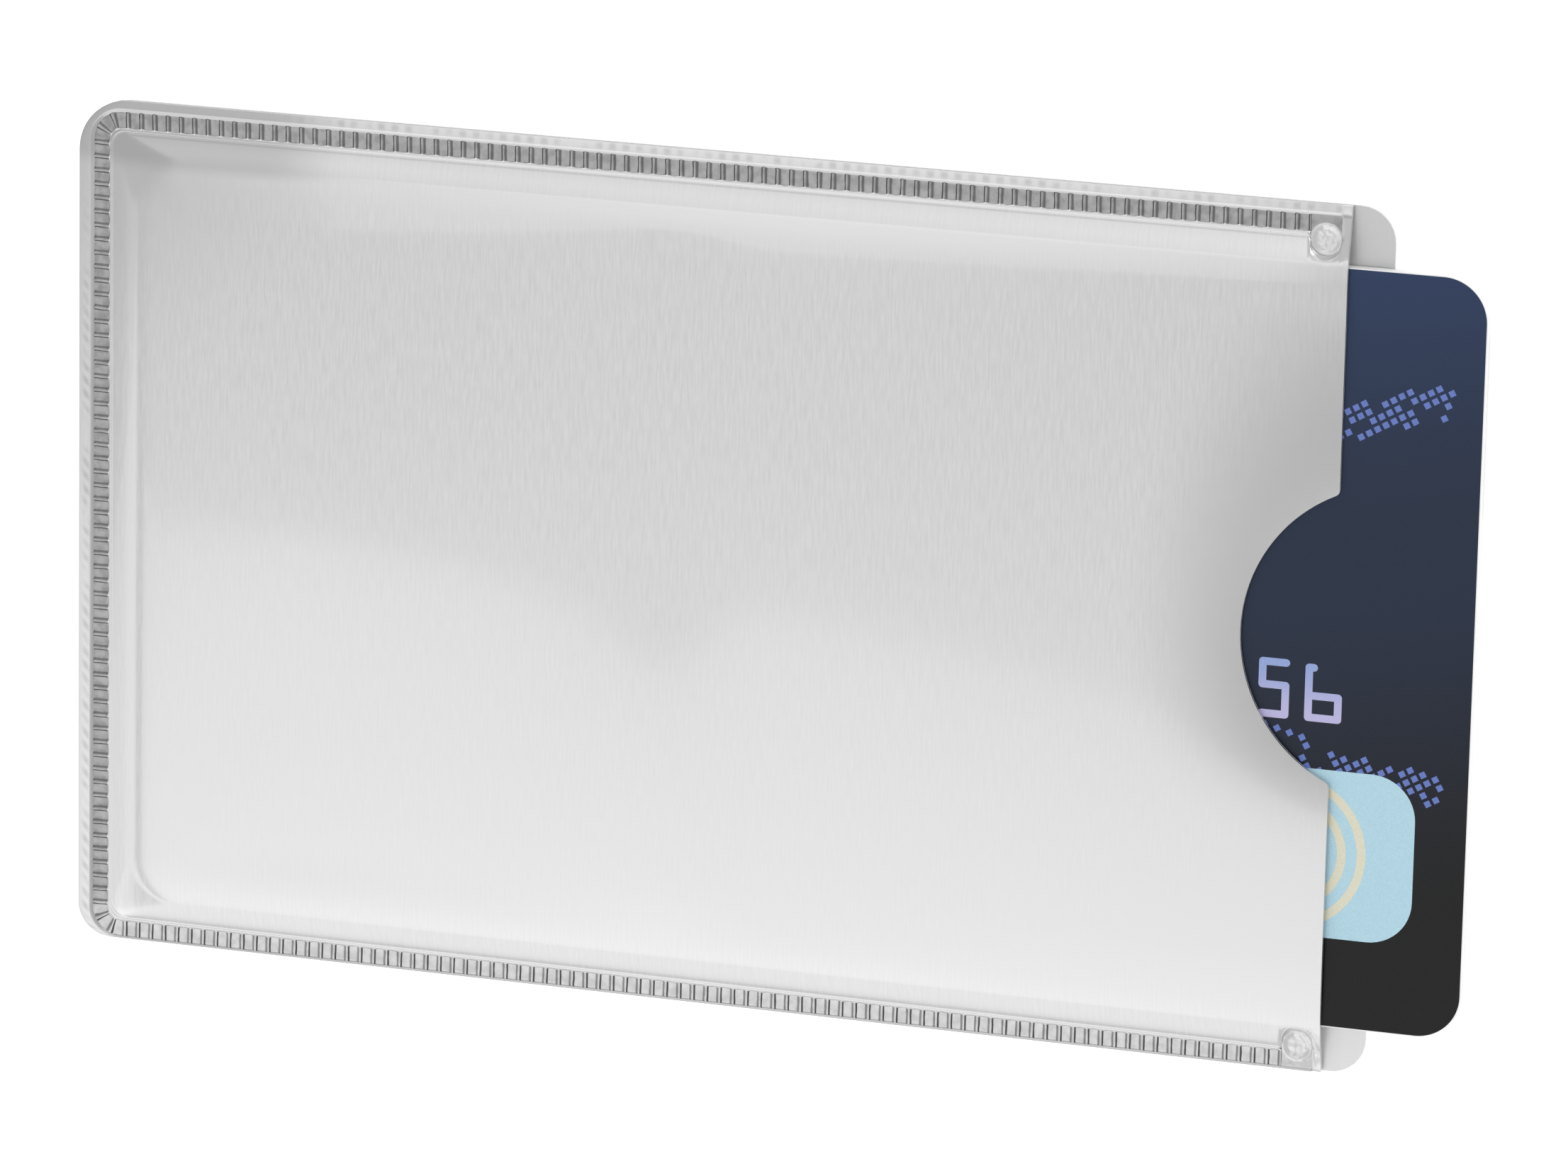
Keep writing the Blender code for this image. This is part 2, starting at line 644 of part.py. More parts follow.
def card_front():
    """The core with its coil and the layers above it, cut out for the chip."""
    core = card_layer("card_core", CORE_Z, CORE_THICKNESS, CARD_WHITE)
    printed = card_layer("card_front_print", FRONT_PRINT_Z, PRINT_SHEET, CARD_INK)
    overlay = card_layer("card_front_overlay", FRONT_OVERLAY_Z, OVERLAY, CARD_GLOSS)
    contact_pocket = chip_pocket(
        "contact_pocket", CHIP_LENGTH, CHIP_WIDTH, CHIP_CORNER_RADIUS, CORE_TOP
    )
    resin_pocket = chip_pocket(
        "resin_pocket", RESIN_LENGTH, RESIN_WIDTH, RESIN_CORNER_RADIUS, RESIN_Z - RESIN_POCKET_GAP
    )
    groove = antenna_groove(CARD_WHITE)
    cut(core, groove)
    cut(core, resin_pocket)
    cut(printed, contact_pocket)
    cut(overlay, contact_pocket)
    return [core, printed, overlay, contact_pocket, resin_pocket, groove]


def build_sleeve():
    back_sheet("back_cover_film", 0, COVER_FILM, CLEAR_FILM)
    back_sheet("back_foil", BACK_FOIL_Z, FOIL, BRIGHT_FOIL)
    back_sheet("back_lining_film", BACK_LINING_Z, LINING_FILM, INNER_FILM)
    front_sheet("front_lining_film", 0, LINING_FILM, INNER_FILM)
    front_sheet("front_foil", FRONT_FOIL_LIFT, FOIL, BRIGHT_FOIL)
    front_sheet("front_cover_film", FRONT_COVER_LIFT, COVER_FILM, CLEAR_FILM)
    weld_seam(MELTED_FILM)
    seam_end("seam_end_upper", SEAM_HIGH, -1, MELTED_FILM)
    seam_end("seam_end_lower", SEAM_LOW, 1, MELTED_FILM)


def build_card():
    """The card on an empty at its own middle, which slides along +X."""
    slide = bpy.data.objects.new("card_slide", None)
    slide.location = (CARD_X, CARD_Y, CARD_BOTTOM)
    bpy.context.scene.collection.objects.link(slide)
    pieces = card_back() + card_front() + [antenna_coil(COPPER)]
    pieces += chip_contact_plate(CONTACT_GOLD) + [chip_encapsulation(BLACK_RESIN)]
    for piece in pieces:
        piece.parent = slide


def main():
    for old in list(bpy.data.objects):
        bpy.data.objects.remove(old, do_unlink=True)
    build_sleeve()
    build_card()
    print(f"front sheet {FRONT_LENGTH:.5f} by {SHEET_WIDTH:.5f}, back sheet {BACK_LENGTH:.5f} m")


main()
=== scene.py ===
# %% [markdown]
# # A shielding card sleeve and its card
#
# The object is a flat sleeve of foil and film for one bank-size card. The card sticks out
# about ten millimetres at the open end. This lesson dresses the plain model: it loads the
# measured solids, covers them with finer meshes where the real thing has more shape, and
# gives every surface its finish.

# %% Load the measured model
import math

import bmesh
import bpy
import numpy as np
from mathutils import Matrix, Vector, noise
from mathutils.geometry import delaunay_2d_cdt


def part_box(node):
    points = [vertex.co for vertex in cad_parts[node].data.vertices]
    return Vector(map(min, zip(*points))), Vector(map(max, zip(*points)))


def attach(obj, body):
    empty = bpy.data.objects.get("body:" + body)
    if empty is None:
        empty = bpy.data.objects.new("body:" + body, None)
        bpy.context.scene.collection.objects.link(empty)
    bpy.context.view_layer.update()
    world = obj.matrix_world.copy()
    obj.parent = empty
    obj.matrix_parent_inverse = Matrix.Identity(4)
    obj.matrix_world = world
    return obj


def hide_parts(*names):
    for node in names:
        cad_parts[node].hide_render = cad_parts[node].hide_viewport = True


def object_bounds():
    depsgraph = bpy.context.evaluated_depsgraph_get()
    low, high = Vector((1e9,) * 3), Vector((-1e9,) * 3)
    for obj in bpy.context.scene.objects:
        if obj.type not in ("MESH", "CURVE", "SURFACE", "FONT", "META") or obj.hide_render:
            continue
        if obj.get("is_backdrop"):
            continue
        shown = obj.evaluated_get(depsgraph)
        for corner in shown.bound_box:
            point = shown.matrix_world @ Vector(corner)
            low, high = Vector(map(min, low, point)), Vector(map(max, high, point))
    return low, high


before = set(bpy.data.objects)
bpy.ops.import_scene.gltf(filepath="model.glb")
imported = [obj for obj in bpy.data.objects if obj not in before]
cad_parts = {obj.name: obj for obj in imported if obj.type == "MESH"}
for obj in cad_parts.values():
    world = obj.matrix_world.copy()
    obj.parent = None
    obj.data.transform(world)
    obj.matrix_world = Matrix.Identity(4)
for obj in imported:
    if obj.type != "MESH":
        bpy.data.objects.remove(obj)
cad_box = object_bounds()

MM = 0.001
QUARTER = math.pi / 2

# %% [markdown]
# ## Camera
#
# The photograph looks down on the sleeve from its upper right, through a long lens from
# two thirds of a metre. A long lens keeps opposite edges nearly parallel. The camera's
# turn is written as three angles about the sleeve's middle, and its place as a distance
# along its own line of sight, because those are what one would set on a tripod.

# %% Set up the camera
PHOTO_WIDTH = 2212
FOCAL_PIXELS = 13257
SENSOR_WIDTH = 36.0
NEAREST_SEEN = 10 * MM
CAMERA_YAW = math.radians(16.89)
CAMERA_PITCH = math.radians(-14.787)
CAMERA_ROLL = math.radians(1.233)
CAMERA_SHIFT_RIGHT = 4.570 * MM
CAMERA_SHIFT_UP = -0.531 * MM
CAMERA_DISTANCE = 658.72 * MM


def make_camera():
    """The camera at the photograph's place, looking its way."""
    turn = Matrix.Rotation(CAMERA_YAW, 3, "Y") @ Matrix.Rotation(CAMERA_PITCH, 3, "X")
    turn = turn @ Matrix.Rotation(CAMERA_ROLL, 3, "Z")
    place = turn @ Vector((CAMERA_SHIFT_RIGHT, CAMERA_SHIFT_UP, CAMERA_DISTANCE))
    lens = bpy.data.cameras.new("camera")
    lens.sensor_width = SENSOR_WIDTH
    lens.lens = FOCAL_PIXELS / PHOTO_WIDTH * SENSOR_WIDTH
    lens.clip_start = NEAREST_SEEN
    made = bpy.data.objects.new("camera", lens)
    made.matrix_world = Matrix.Translation(place) @ turn.to_4x4()
    bpy.context.scene.collection.objects.link(made)
    bpy.context.scene.camera = made
    print(f"lens {lens.lens:.1f} mm, camera at {[round(v / MM, 1) for v in place]} mm")


make_camera()

# %% [markdown]
# ## Small helpers for node trees
#
# Both materials and Geometry Nodes are trees of nodes. One helper keeps the lesson short: it
# adds a node with its settings and feeds each input from another node's output or from a
# plain value. The others put a sum, a vector sum, a smooth step or a mixed colour in one line.

# %% Helpers for nodes


def add(tree, kind, inputs=None, **settings):
    """A new node with its settings, and its inputs linked or set by name or number."""
    made = tree.nodes.new(kind)
    for key, value in settings.items():
        setattr(made, key, value)
    for key, value in (inputs or {}).items():
        if isinstance(value, bpy.types.NodeSocket):
            tree.links.new(value, made.inputs[key])
        else:
            made.inputs[key].default_value = value
    return made


def math_node(tree, operation, first, second=0.0, clamp=False):
    """The value of first and second, worked out by a Math node."""
    made = add(tree, "ShaderNodeMath", {0: first, 1: second}, operation=operation, use_clamp=clamp)
    return made.outputs[0]


def vector_node(tree, operation, first, second=(0, 0, 0), output="Vector"):
    """The same for vectors; second is a vector too, or for SCALE a factor."""
    other = "Scale" if operation == "SCALE" else 1
    made = add(tree, "ShaderNodeVectorMath", {0: first, other: second}, operation=operation)
    return made.outputs[output]


def ramp(tree, value, low, high, to_low=0.0, to_high=1.0):
    """A smooth step of value from low to high."""
    made = add(
        tree,
        "ShaderNodeMapRange",
        {"Value": value, "From Min": low, "From Max": high, "To Min": to_low, "To Max": to_high},
        interpolation_type="SMOOTHSTEP",
    )
    return made.outputs["Result"]


def mix(tree, share, first, second):
    """A colour part of the way from first to second."""
    made = add(tree, "ShaderNodeMix", {0: share, 6: first, 7: second}, data_type="RGBA")
    return made.outputs[2]


def object_place(tree):
    """Where a point is in its piece's own coordinates."""
    return add(tree, "ShaderNodeTexCoord").outputs["Object"]


def object_axes(tree):
    """The same place as one output for each axis."""
    return add(tree, "ShaderNodeSeparateXYZ", {0: object_place(tree)}).outputs


def new_group(name, kind, inputs, outputs):
    """An empty node group with named inputs and outputs; returns it and its two end nodes."""
    tree = bpy.data.node_groups.new(name, kind)
    for label, socket, default in inputs:
        made = tree.interface.new_socket(label, in_out="INPUT", socket_type=socket)
        if default is not None:
            made.default_value = default
    for label, socket in outputs:
        tree.interface.new_socket(label, in_out="OUTPUT", socket_type=socket)
    return tree, tree.nodes.new("NodeGroupInput"), tree.nodes.new("NodeGroupOutput")


# %% [markdown]
# ## Shader groups that several finishes share
#
# Rolled foil has fine streaks, all in one direction. Printed plastic has a very fine grain.
# Cut sheets show another colour on their edge than on their face. Each effect is a group,
# so that every finish that needs it sets only its own strength.

# %% Group: rolling streaks

MOTTLE_SCALE = 60.0


def build_streaks():
    """Fine streaks along Y, as a value about one half, and a slower mottle."""
    tree, given, result = new_group(
        "rolling_streaks",
        "ShaderNodeTree",
        [
            ("Streaks per mm", "NodeSocketFloat", 9.0),
            ("Streak length mm", "NodeSocketFloat", 2.5),
        ],
        [("Streak", "NodeSocketFloat"), ("Mottle", "NodeSocketFloat")],
    )
    place = object_place(tree)
    across = math_node(tree, "MULTIPLY", given.outputs["Streaks per mm"], 1 / MM)
    along = math_node(tree, "DIVIDE", 1 / MM, given.outputs["Streak length mm"])
    scale = add(tree, "ShaderNodeCombineXYZ", {"X": across, "Y": along, "Z": along}).outputs[0]
    stretched = vector_node(tree, "MULTIPLY", place, scale)
    inputs = {"Vector": stretched, "Scale": 1.0, "Detail": 3.0, "Roughness": 0.6}
    streak = add(tree, "ShaderNodeTexNoise", inputs)
    inputs = {"Vector": place, "Scale": MOTTLE_SCALE, "Detail": 2.0}
    mottle = add(tree, "ShaderNodeTexNoise", inputs)
    tree.links.new(streak.outputs[0], result.inputs["Streak"])
    tree.links.new(mottle.outputs[0], result.inputs["Mottle"])
    return tree


STREAKS = build_streaks()

# %% Group: face or cut edge

EDGE_TURN, FACE_TURN = 0.35, 0.65


def build_face_mask():
    """Face is 1 where a sheet looks up or down, Up only where it looks up, both 0 on its edge."""
    outputs = [("Face", "NodeSocketFloat"), ("Up", "NodeSocketFloat")]
    tree, _, result = new_group("face_mask", "ShaderNodeTree", [], outputs)
    normal = add(tree, "ShaderNodeTexCoord").outputs["Normal"]
    upward = add(tree, "ShaderNodeSeparateXYZ", {0: normal}).outputs["Z"]
    face = ramp(tree, math_node(tree, "ABSOLUTE", upward), EDGE_TURN, FACE_TURN)
    tree.links.new(face, result.inputs["Face"])
    tree.links.new(ramp(tree, upward, EDGE_TURN, FACE_TURN), result.inputs["Up"])
    return tree


FACE_MASK = build_face_mask()

# %% Group: fine grain


def build_grain():
    """A fine even grain, as a value about one half."""
    tree, given, result = new_group(
        "fine_grain",
        "ShaderNodeTree",
        [("Grains per mm", "NodeSocketFloat", 8.0)],
        [("Grain", "NodeSocketFloat")],
    )
    scale = math_node(tree, "MULTIPLY", given.outputs["Grains per mm"], 1 / MM)
    inputs = {"Vector": object_place(tree), "Scale": scale, "Detail": 2.0}
    grain = add(tree, "ShaderNodeTexNoise", inputs)
    tree.links.new(grain.outputs[0], result.inputs["Grain"])
    return tree


GRAIN = build_grain()

# %% [markdown]
# ## Finishes
#
# A finish starts as a Principled BSDF with plain values for what is even all over it, such
# as how metallic it is. Colours and roughness that vary come from the groups above.

# %% Helpers for finishes


def new_finish(name, **plain):
    """A material with its tree, its shader and plain values on the shader's sockets."""
    made = bpy.data.materials.new(name)
    made.use_nodes = True
    tree = made.node_tree
    shader = tree.nodes["Principled BSDF"]
    for label, value in plain.items():
        shader.inputs[label.replace("_", " ")].default_value = value
    return made, tree, shader


def group_node(tree, group, **values):
    """A group placed in a material; values are its inputs, with _ for a space."""
    made = add(tree, "ShaderNodeGroup", node_tree=group)
    for label, value in values.items():
        made.inputs[label.replace("_", " ")].default_value = value
    return made


def bump(tree, shader, height, distance, strength):
    """Small relief from a value, as deep as the distance."""
    inputs = {"Height": height, "Distance": distance, "Strength": strength}
    made = add(tree, "ShaderNodeBump", inputs)
    tree.links.new(made.outputs[0], shader.inputs["Normal"])


NOISE_SPAN = (0.3, 0.7)
STREAK_SPAN = (0.2, 0.8)
RELIEF_STRENGTH = 0.5


def uneven_surface(tree, shader, value, span, roughness, depth, strength=RELIEF_STRENGTH):
    """Lets one value drive a finish's roughness, between two limits, and its small relief."""
    tree.links.new(ramp(tree, value, *span, *roughness), shader.inputs["Roughness"])
    bump(tree, shader, value, depth, strength)


def grey(level, warmth=0.0):
    """A grey as a colour with alpha; warmth shifts it towards red or blue."""
    return (level + warmth, level, level - warmth, 1.0)


# %% [markdown]
# The outer film is clear, but what one sees is the rolled foil under it. So its finish is a
# rough metal with a smooth clear coat. The coat mirrors the studio faintly and sharply, the
# foil strongly and softly. On the front sheet, painted shade darkens the foil's colour round
# the thumb notch and along the mouth above it, where the film curves down, near the upper
# closed corner, and on the slope beside the upper weld near the closed end. Painted shade
# also puts soft dark spots in the margin, one beside each pad's imprint, and a dark band
# where the margin dips into the channel beside the weld. Each of these is a mask: a value
# worked out from the place, 1 where the tone changes and 0 elsewhere.

# %% Foil under clear film

FILM_IOR = 1.80
FOIL_STREAK = 0.026
FOIL_ROUGHNESS_SPREAD = 0.03
FOIL_RELIEF = 0.0012 * MM
CUT_TONE = 0.72
# Painted shade round the thumb notch and along the mouth above it.
NOTCH_SHADE_X, NOTCH_SHADE_Y = 49.38 * MM, 0.50 * MM
NOTCH_SHADE_FROM, NOTCH_SHADE_TO = 10.0 * MM, 20.5 * MM
NOTCH_SHADE_STRETCH = 1.5
NOTCH_SHADE_LOW, NOTCH_SHADE_LOW_END = -15.0 * MM, -7.0 * MM
NOTCH_SHADE_LOW_SHARE = 0.1
NOTCH_SHADE_TONE = 0.73
# Painted shade at the sheet's upper closed corner.
SHADED_CORNER = (-46.0 * MM, 28.5 * MM, 1.0 * MM)
CORNER_SHADE_FROM, CORNER_SHADE_TO = 2.0 * MM, 18.0 * MM
CORNER_SHADE_TONE = 0.90
# Painted shade on the slope beside the upper weld near the closed end.
SLOPE_FROM, SLOPE_TO = -34.0 * MM, -27.0 * MM
SLOPE_LOW, SLOPE_HIGH = 25.8 * MM, 27.2 * MM
SLOPE_SHADE_TONE = 0.72
# Painted shade: soft dark spots in the margin beside the pads.
ECHO_FROM_WELD = 0.60 * MM
ECHO_REACH = 0.45 * MM
ECHO_SHADE_TONE = 0.76
ECHO_PATCHES = 420.0
ECHO_SPAN = (0.30, 0.60)
# Painted shade in a band where the margin dips into the channel beside the weld.
WALL_FROM_WELD = 0.12 * MM
WALL_REACH = 0.22 * MM
WALL_SHADE_TONE = 0.70


def band(tree, value, middle, reach):
    """1 where a value is at the middle, fading to 0 on both sides of it."""
    away = math_node(tree, "ABSOLUTE", math_node(tree, "SUBTRACT", value, middle))
    return ramp(tree, away, 0.0, reach, 1.0, 0.0)


def dent_shade_spots(tree, outside):
    """Painted shade: soft dark spots in the margin, one beside each pad's imprint."""
    along = add(tree, "ShaderNodeAttribute", attribute_name="along_weld").outputs["Fac"]
    wave = math_node(tree, "COSINE", math_node(tree, "MULTIPLY", along, 2 * math.pi))
    spots = ramp(tree, wave, -1.0, 1.0)
    inputs = {"Vector": object_place(tree), "Scale": ECHO_PATCHES, "Detail": 2.0}
    uneven = add(tree, "ShaderNodeTexNoise", inputs)
    strength = ramp(tree, uneven.outputs[0], *ECHO_SPAN)
    near = math_node(tree, "MULTIPLY", band(tree, outside, ECHO_FROM_WELD, ECHO_REACH), strength)
    return math_node(tree, "MULTIPLY", spots, near)


def notch_shade(tree):
    """Painted shade where the film curves down: 1 at the thumb notch's edge, fading from it, more
    slowly along the mouth above it.
    """
    axes = object_axes(tree)
    aside = math_node(tree, "SUBTRACT", axes["X"], NOTCH_SHADE_X)
    height = math_node(tree, "SUBTRACT", axes["Y"], NOTCH_SHADE_Y)
    above = math_node(tree, "DIVIDE", math_node(tree, "MAXIMUM", height, 0.0), NOTCH_SHADE_STRETCH)
    height = math_node(tree, "ADD", math_node(tree, "MINIMUM", height, 0.0), above)
    flat = add(tree, "ShaderNodeCombineXYZ", {"X": aside, "Y": height})
    away = vector_node(tree, "LENGTH", flat.outputs[0], output="Value")
    near = ramp(tree, away, NOTCH_SHADE_FROM, NOTCH_SHADE_TO, 1.0, 0.0)
    high = ramp(tree, axes["Y"], NOTCH_SHADE_LOW, NOTCH_SHADE_LOW_END, NOTCH_SHADE_LOW_SHARE)
    return math_node(tree, "MULTIPLY", near, high)


def corner_shade(tree):
    """Painted shade: 1 at the sheet's upper closed corner, fading from it."""
    away = vector_node(tree, "DISTANCE", object_place(tree), SHADED_CORNER, output="Value")
    return ramp(tree, away, CORNER_SHADE_FROM, CORNER_SHADE_TO, 1.0, 0.0)


def slope_shade(tree):
    """Painted shade, standing in for a less steep slope: 1 on the slope beside the upper weld near
    the closed end.
    """
    axes = object_axes(tree)
    start = ramp(tree, axes["X"], SLOPE_FROM, SLOPE_TO, 1.0, 0.0)
    upper = ramp(tree, axes["Y"], SLOPE_LOW, SLOPE_HIGH)
    return math_node(tree, "MULTIPLY", start, upper)


def make_film_over_foil(name, tone, roughness, is_front):
    """Streaked foil under a clear coat; the front sheet's also has its painted shade."""
    made, tree, shader = new_finish(name, Metallic=0.95, Coat_Weight=1.0, Coat_Roughness=0.05)
    shader.inputs["Coat IOR"].default_value = FILM_IOR
    streaks = group_node(tree, STREAKS, Streaks_per_mm=7.5, Streak_length_mm=1.8)
    faces = group_node(tree, FACE_MASK)
    dark = grey(tone * (1 - FOIL_STREAK))
    light = grey(tone * (1 + FOIL_STREAK))
    sheen = mix(tree, ramp(tree, streaks.outputs["Streak"], *NOISE_SPAN), dark, light)
    if is_front:
        outside = add(tree, "ShaderNodeAttribute", attribute_name="outside_weld").outputs["Fac"]
        # Painted shade: each mask darkens the foil's colour to its share of the tone.
        masks = (
            (dent_shade_spots(tree, outside), ECHO_SHADE_TONE),
            (band(tree, outside, WALL_FROM_WELD, WALL_REACH), WALL_SHADE_TONE),
            (corner_shade(tree), CORNER_SHADE_TONE),
            (slope_shade(tree), SLOPE_SHADE_TONE),
            (notch_shade(tree), NOTCH_SHADE_TONE),
        )
        for mask, share in masks:
            sheen = mix(tree, mask, sheen, grey(tone * share))
    shown = mix(tree, faces.outputs["Face"], grey(CUT_TONE), sheen)
    tree.links.new(shown, shader.inputs["Base Color"])
    rough = (roughness - FOIL_ROUGHNESS_SPREAD, roughness + FOIL_ROUGHNESS_SPREAD)
    uneven_surface(tree, shader, streaks.outputs["Streak"], STREAK_SPAN, rough, FOIL_RELIEF)
    return made


FRONT_FILM = make_film_over_foil("front_film", tone=0.615, roughness=0.224, is_front=True)
BACK_FILM = make_film_over_foil("back_film", tone=0.60, roughness=0.32, is_front=False)

# %% Bare foil, seen at the cut edges

FOIL_COLOURS = (grey(0.70), grey(0.86))
FOIL_ROUGHNESS = (0.24, 0.34)


def make_foil():
    """Rolled metal with its streaks."""
    made, tree, shader = new_finish("rolled_foil", Metallic=1.0)
    streaks = group_node(tree, STREAKS, Streak_length_mm=1.2)
    streak = streaks.outputs["Streak"]
    tree.links.new(mix(tree, streak, *FOIL_COLOURS), shader.inputs["Base Color"])
    uneven_surface(tree, shader, streak, STREAK_SPAN, FOIL_ROUGHNESS, 0.004 * MM)
    return made


FOIL = make_foil()

# %% Lining film

# Painted light on the lip: lighter on its lower side, darker on its upper side.
LIP_TONE_FROM, LIP_TONE_TO = -28.0 * MM, 28.0 * MM
LIP_LOWER_LIT = (grey(0.74), grey(0.80))
LIP_UPPER_SHADED = (grey(0.60), grey(0.65))
LINING_EDGE = grey(0.80)
LINING_ROUGHNESS = (0.42, 0.52)


def make_lining():
    """Satin film on the inside of each sheet, seen on the lip, with painted shade on its upper side
    and painted light on its lower side.
    """
    made, tree, shader = new_finish("lining", Metallic=0.55, Coat_Weight=0.15)
    streaks = group_node(tree, STREAKS, Streaks_per_mm=5.0, Streak_length_mm=4.0)
    faces = group_node(tree, FACE_MASK)
    lower = mix(tree, streaks.outputs["Mottle"], *LIP_LOWER_LIT)
    upper = mix(tree, streaks.outputs["Mottle"], *LIP_UPPER_SHADED)
    side = ramp(tree, object_axes(tree)["Y"], LIP_TONE_FROM, LIP_TONE_TO)
    satin = mix(tree, side, lower, upper)
    shown = mix(tree, faces.outputs["Face"], LINING_EDGE, satin)
    tree.links.new(shown, shader.inputs["Base Color"])
    streak = streaks.outputs["Streak"]
    uneven_surface(tree, shader, streak, STREAK_SPAN, LINING_ROUGHNESS, 0.003 * MM)
    return made


LINING = make_lining()

# %% Melted film of the weld

CLOUD_SCALE = 1500.0
RIPPLE_SCALE = 3600.0
SHADE_SPAN = (0.1, 0.9)
HIGHLIGHT_AND_CLEAR_SPAN = (-0.1, -0.9)
MELTED_ROUGHNESS = (0.22, 0.34)
MELTED_HIGHLIGHT_AND_CLEAR = grey(0.66)
MELTED_RELIEF = 0.010 * MM
# Painted light: the lower weld is paler, as it is lit more.
PALE_FROM, PALE_TO = -27.0 * MM, -29.5 * MM


def make_melted(name, attribute, low, high, pale, dark):
    """Fused, slightly cloudy film with ripples, paler by the factor pale on the lower side, as
    painted light.

    Where the attribute is above 0 it goes dark, as painted shade, and where it is below 0 light: a
    painted highlight on the pads, the clear bowl's own tone in the dots.
    """
    made, tree, shader = new_finish(name, Metallic=0.85, Coat_Weight=1.0, Coat_Roughness=0.10)
    place = object_place(tree)
    inputs = {"Vector": place, "Scale": CLOUD_SCALE, "Detail": 2.0}
    cloud = add(tree, "ShaderNodeTexNoise", inputs)
    inputs = {"Vector": place, "Scale": RIPPLE_SCALE, "Detail": 1.5}
    ripples = add(tree, "ShaderNodeTexNoise", inputs)
    cloudy = ramp(tree, cloud.outputs[0], *NOISE_SPAN)
    lower = ramp(tree, object_axes(tree)["Y"], PALE_FROM, PALE_TO)
    colour = mix(tree, cloudy, grey(low), grey(high))
    colour = mix(tree, lower, colour, mix(tree, cloudy, grey(low * pale), grey(high * pale)))
    tone = add(tree, "ShaderNodeAttribute", attribute_name=attribute).outputs["Fac"]
    colour = mix(tree, ramp(tree, tone, *SHADE_SPAN), colour, grey(dark))
    colour = mix(tree, ramp(tree, tone, *HIGHLIGHT_AND_CLEAR_SPAN), colour, MELTED_HIGHLIGHT_AND_CLEAR)
    tree.links.new(colour, shader.inputs["Base Color"])
    rough = ramp(tree, cloud.outputs[0], *NOISE_SPAN, *MELTED_ROUGHNESS)
    tree.links.new(rough, shader.inputs["Roughness"])
    bump(tree, shader, ripples.outputs[0], MELTED_RELIEF, RELIEF_STRENGTH)
    return made


MELTED = make_melted("melted_film", "pad_painted_light", low=0.29, high=0.40, pale=1.55, dark=0.06)
MELTED_CLEAR = make_melted("melted_drop", "bowl_tone", low=0.27, high=0.36, pale=1.6, dark=0.20)

# %% [markdown]
# The card is printed from navy at the top to charcoal at the bottom, under a glossy overlay.
# Its cut edge stays white, so the print's colour is used only on faces that look up. The
# print stops a hair short of the edge, inside a rounded outline that a formula gives.

# %% Card finishes

CARD_LOW, CARD_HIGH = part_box("card_core")
CARD_RADIUS = 3.18 * MM
PRINT_INSET = 0.07 * MM
PRINT_FADE = 0.01 * MM
PRINT_TOP = (0.021, 0.045, 0.120, 1.0)
PRINT_MIDDLE = (0.010, 0.021, 0.051, 1.0)
PRINT_BOTTOM = (0.002, 0.002, 0.002, 1.0)
PRINT_LEAN = -0.16
PRINT_IOR = 1.36
SPECK_SPAN = (0.35, 0.75)
SPECK_SHARE = 0.03
SPECK_COLOUR = (0.08, 0.09, 0.12, 1.0)
PRINT_RELIEF = 0.002 * MM
PRINT_RELIEF_STRENGTH = 0.3
EDGE_WHITE = (0.90, 0.90, 0.90, 1.0)


def print_gradient(tree):
    """Navy to charcoal down the card, leaning a little to the right."""
    axes = object_axes(tree)
    lean = math_node(tree, "MULTIPLY", axes["X"], PRINT_LEAN)
    height = math_node(tree, "ADD", axes["Y"], lean)
    lower = ramp(tree, height, CARD_LOW.y, 0.0)
    upper = ramp(tree, height, 0.0, CARD_HIGH.y)
    return mix(tree, upper, mix(tree, lower, PRINT_BOTTOM, PRINT_MIDDLE), PRINT_TOP)


def print_reach(tree):
    """1 where the card is printed, 0 in the white rim round its edge."""
    axes = object_axes(tree)
    aside = []
    for axis, low, high in (("X", CARD_LOW.x, CARD_HIGH.x), ("Y", CARD_LOW.y, CARD_HIGH.y)):
        away = math_node(tree, "SUBTRACT", axes[axis], (low + high) / 2)
        straight = (high - low) / 2 - CARD_RADIUS
        past = math_node(tree, "SUBTRACT", math_node(tree, "ABSOLUTE", away), straight)
        aside.append(math_node(tree, "MAXIMUM", past, 0.0))
    flat = add(tree, "ShaderNodeCombineXYZ", {"X": aside[0], "Y": aside[1]})
    reach = vector_node(tree, "LENGTH", flat.outputs[0], output="Value")
    edge = CARD_RADIUS - PRINT_INSET
    return ramp(tree, reach, edge - PRINT_FADE, edge, 1.0, 0.0)


def make_card_print(name, printed_side_up, roughness):
    """The card's print under gloss, on the upper face alone if printed_side_up, else on both."""
    made, tree, shader = new_finish(name, IOR=PRINT_IOR)
    grain = group_node(tree, GRAIN).outputs["Grain"]
    faces = group_node(tree, FACE_MASK)
    speck = ramp(tree, grain, *SPECK_SPAN, 0.0, SPECK_SHARE)
    ink = mix(tree, speck, print_gradient(tree), SPECK_COLOUR)
    side = faces.outputs["Up" if printed_side_up else "Face"]
    printed = math_node(tree, "MULTIPLY", side, print_reach(tree))
    tree.links.new(mix(tree, printed, EDGE_WHITE, ink), shader.inputs["Base Color"])
    rough = (roughness - 0.02, roughness + 0.03)
    uneven_surface(tree, shader, grain, NOISE_SPAN, rough, PRINT_RELIEF, PRINT_RELIEF_STRENGTH)
    return made


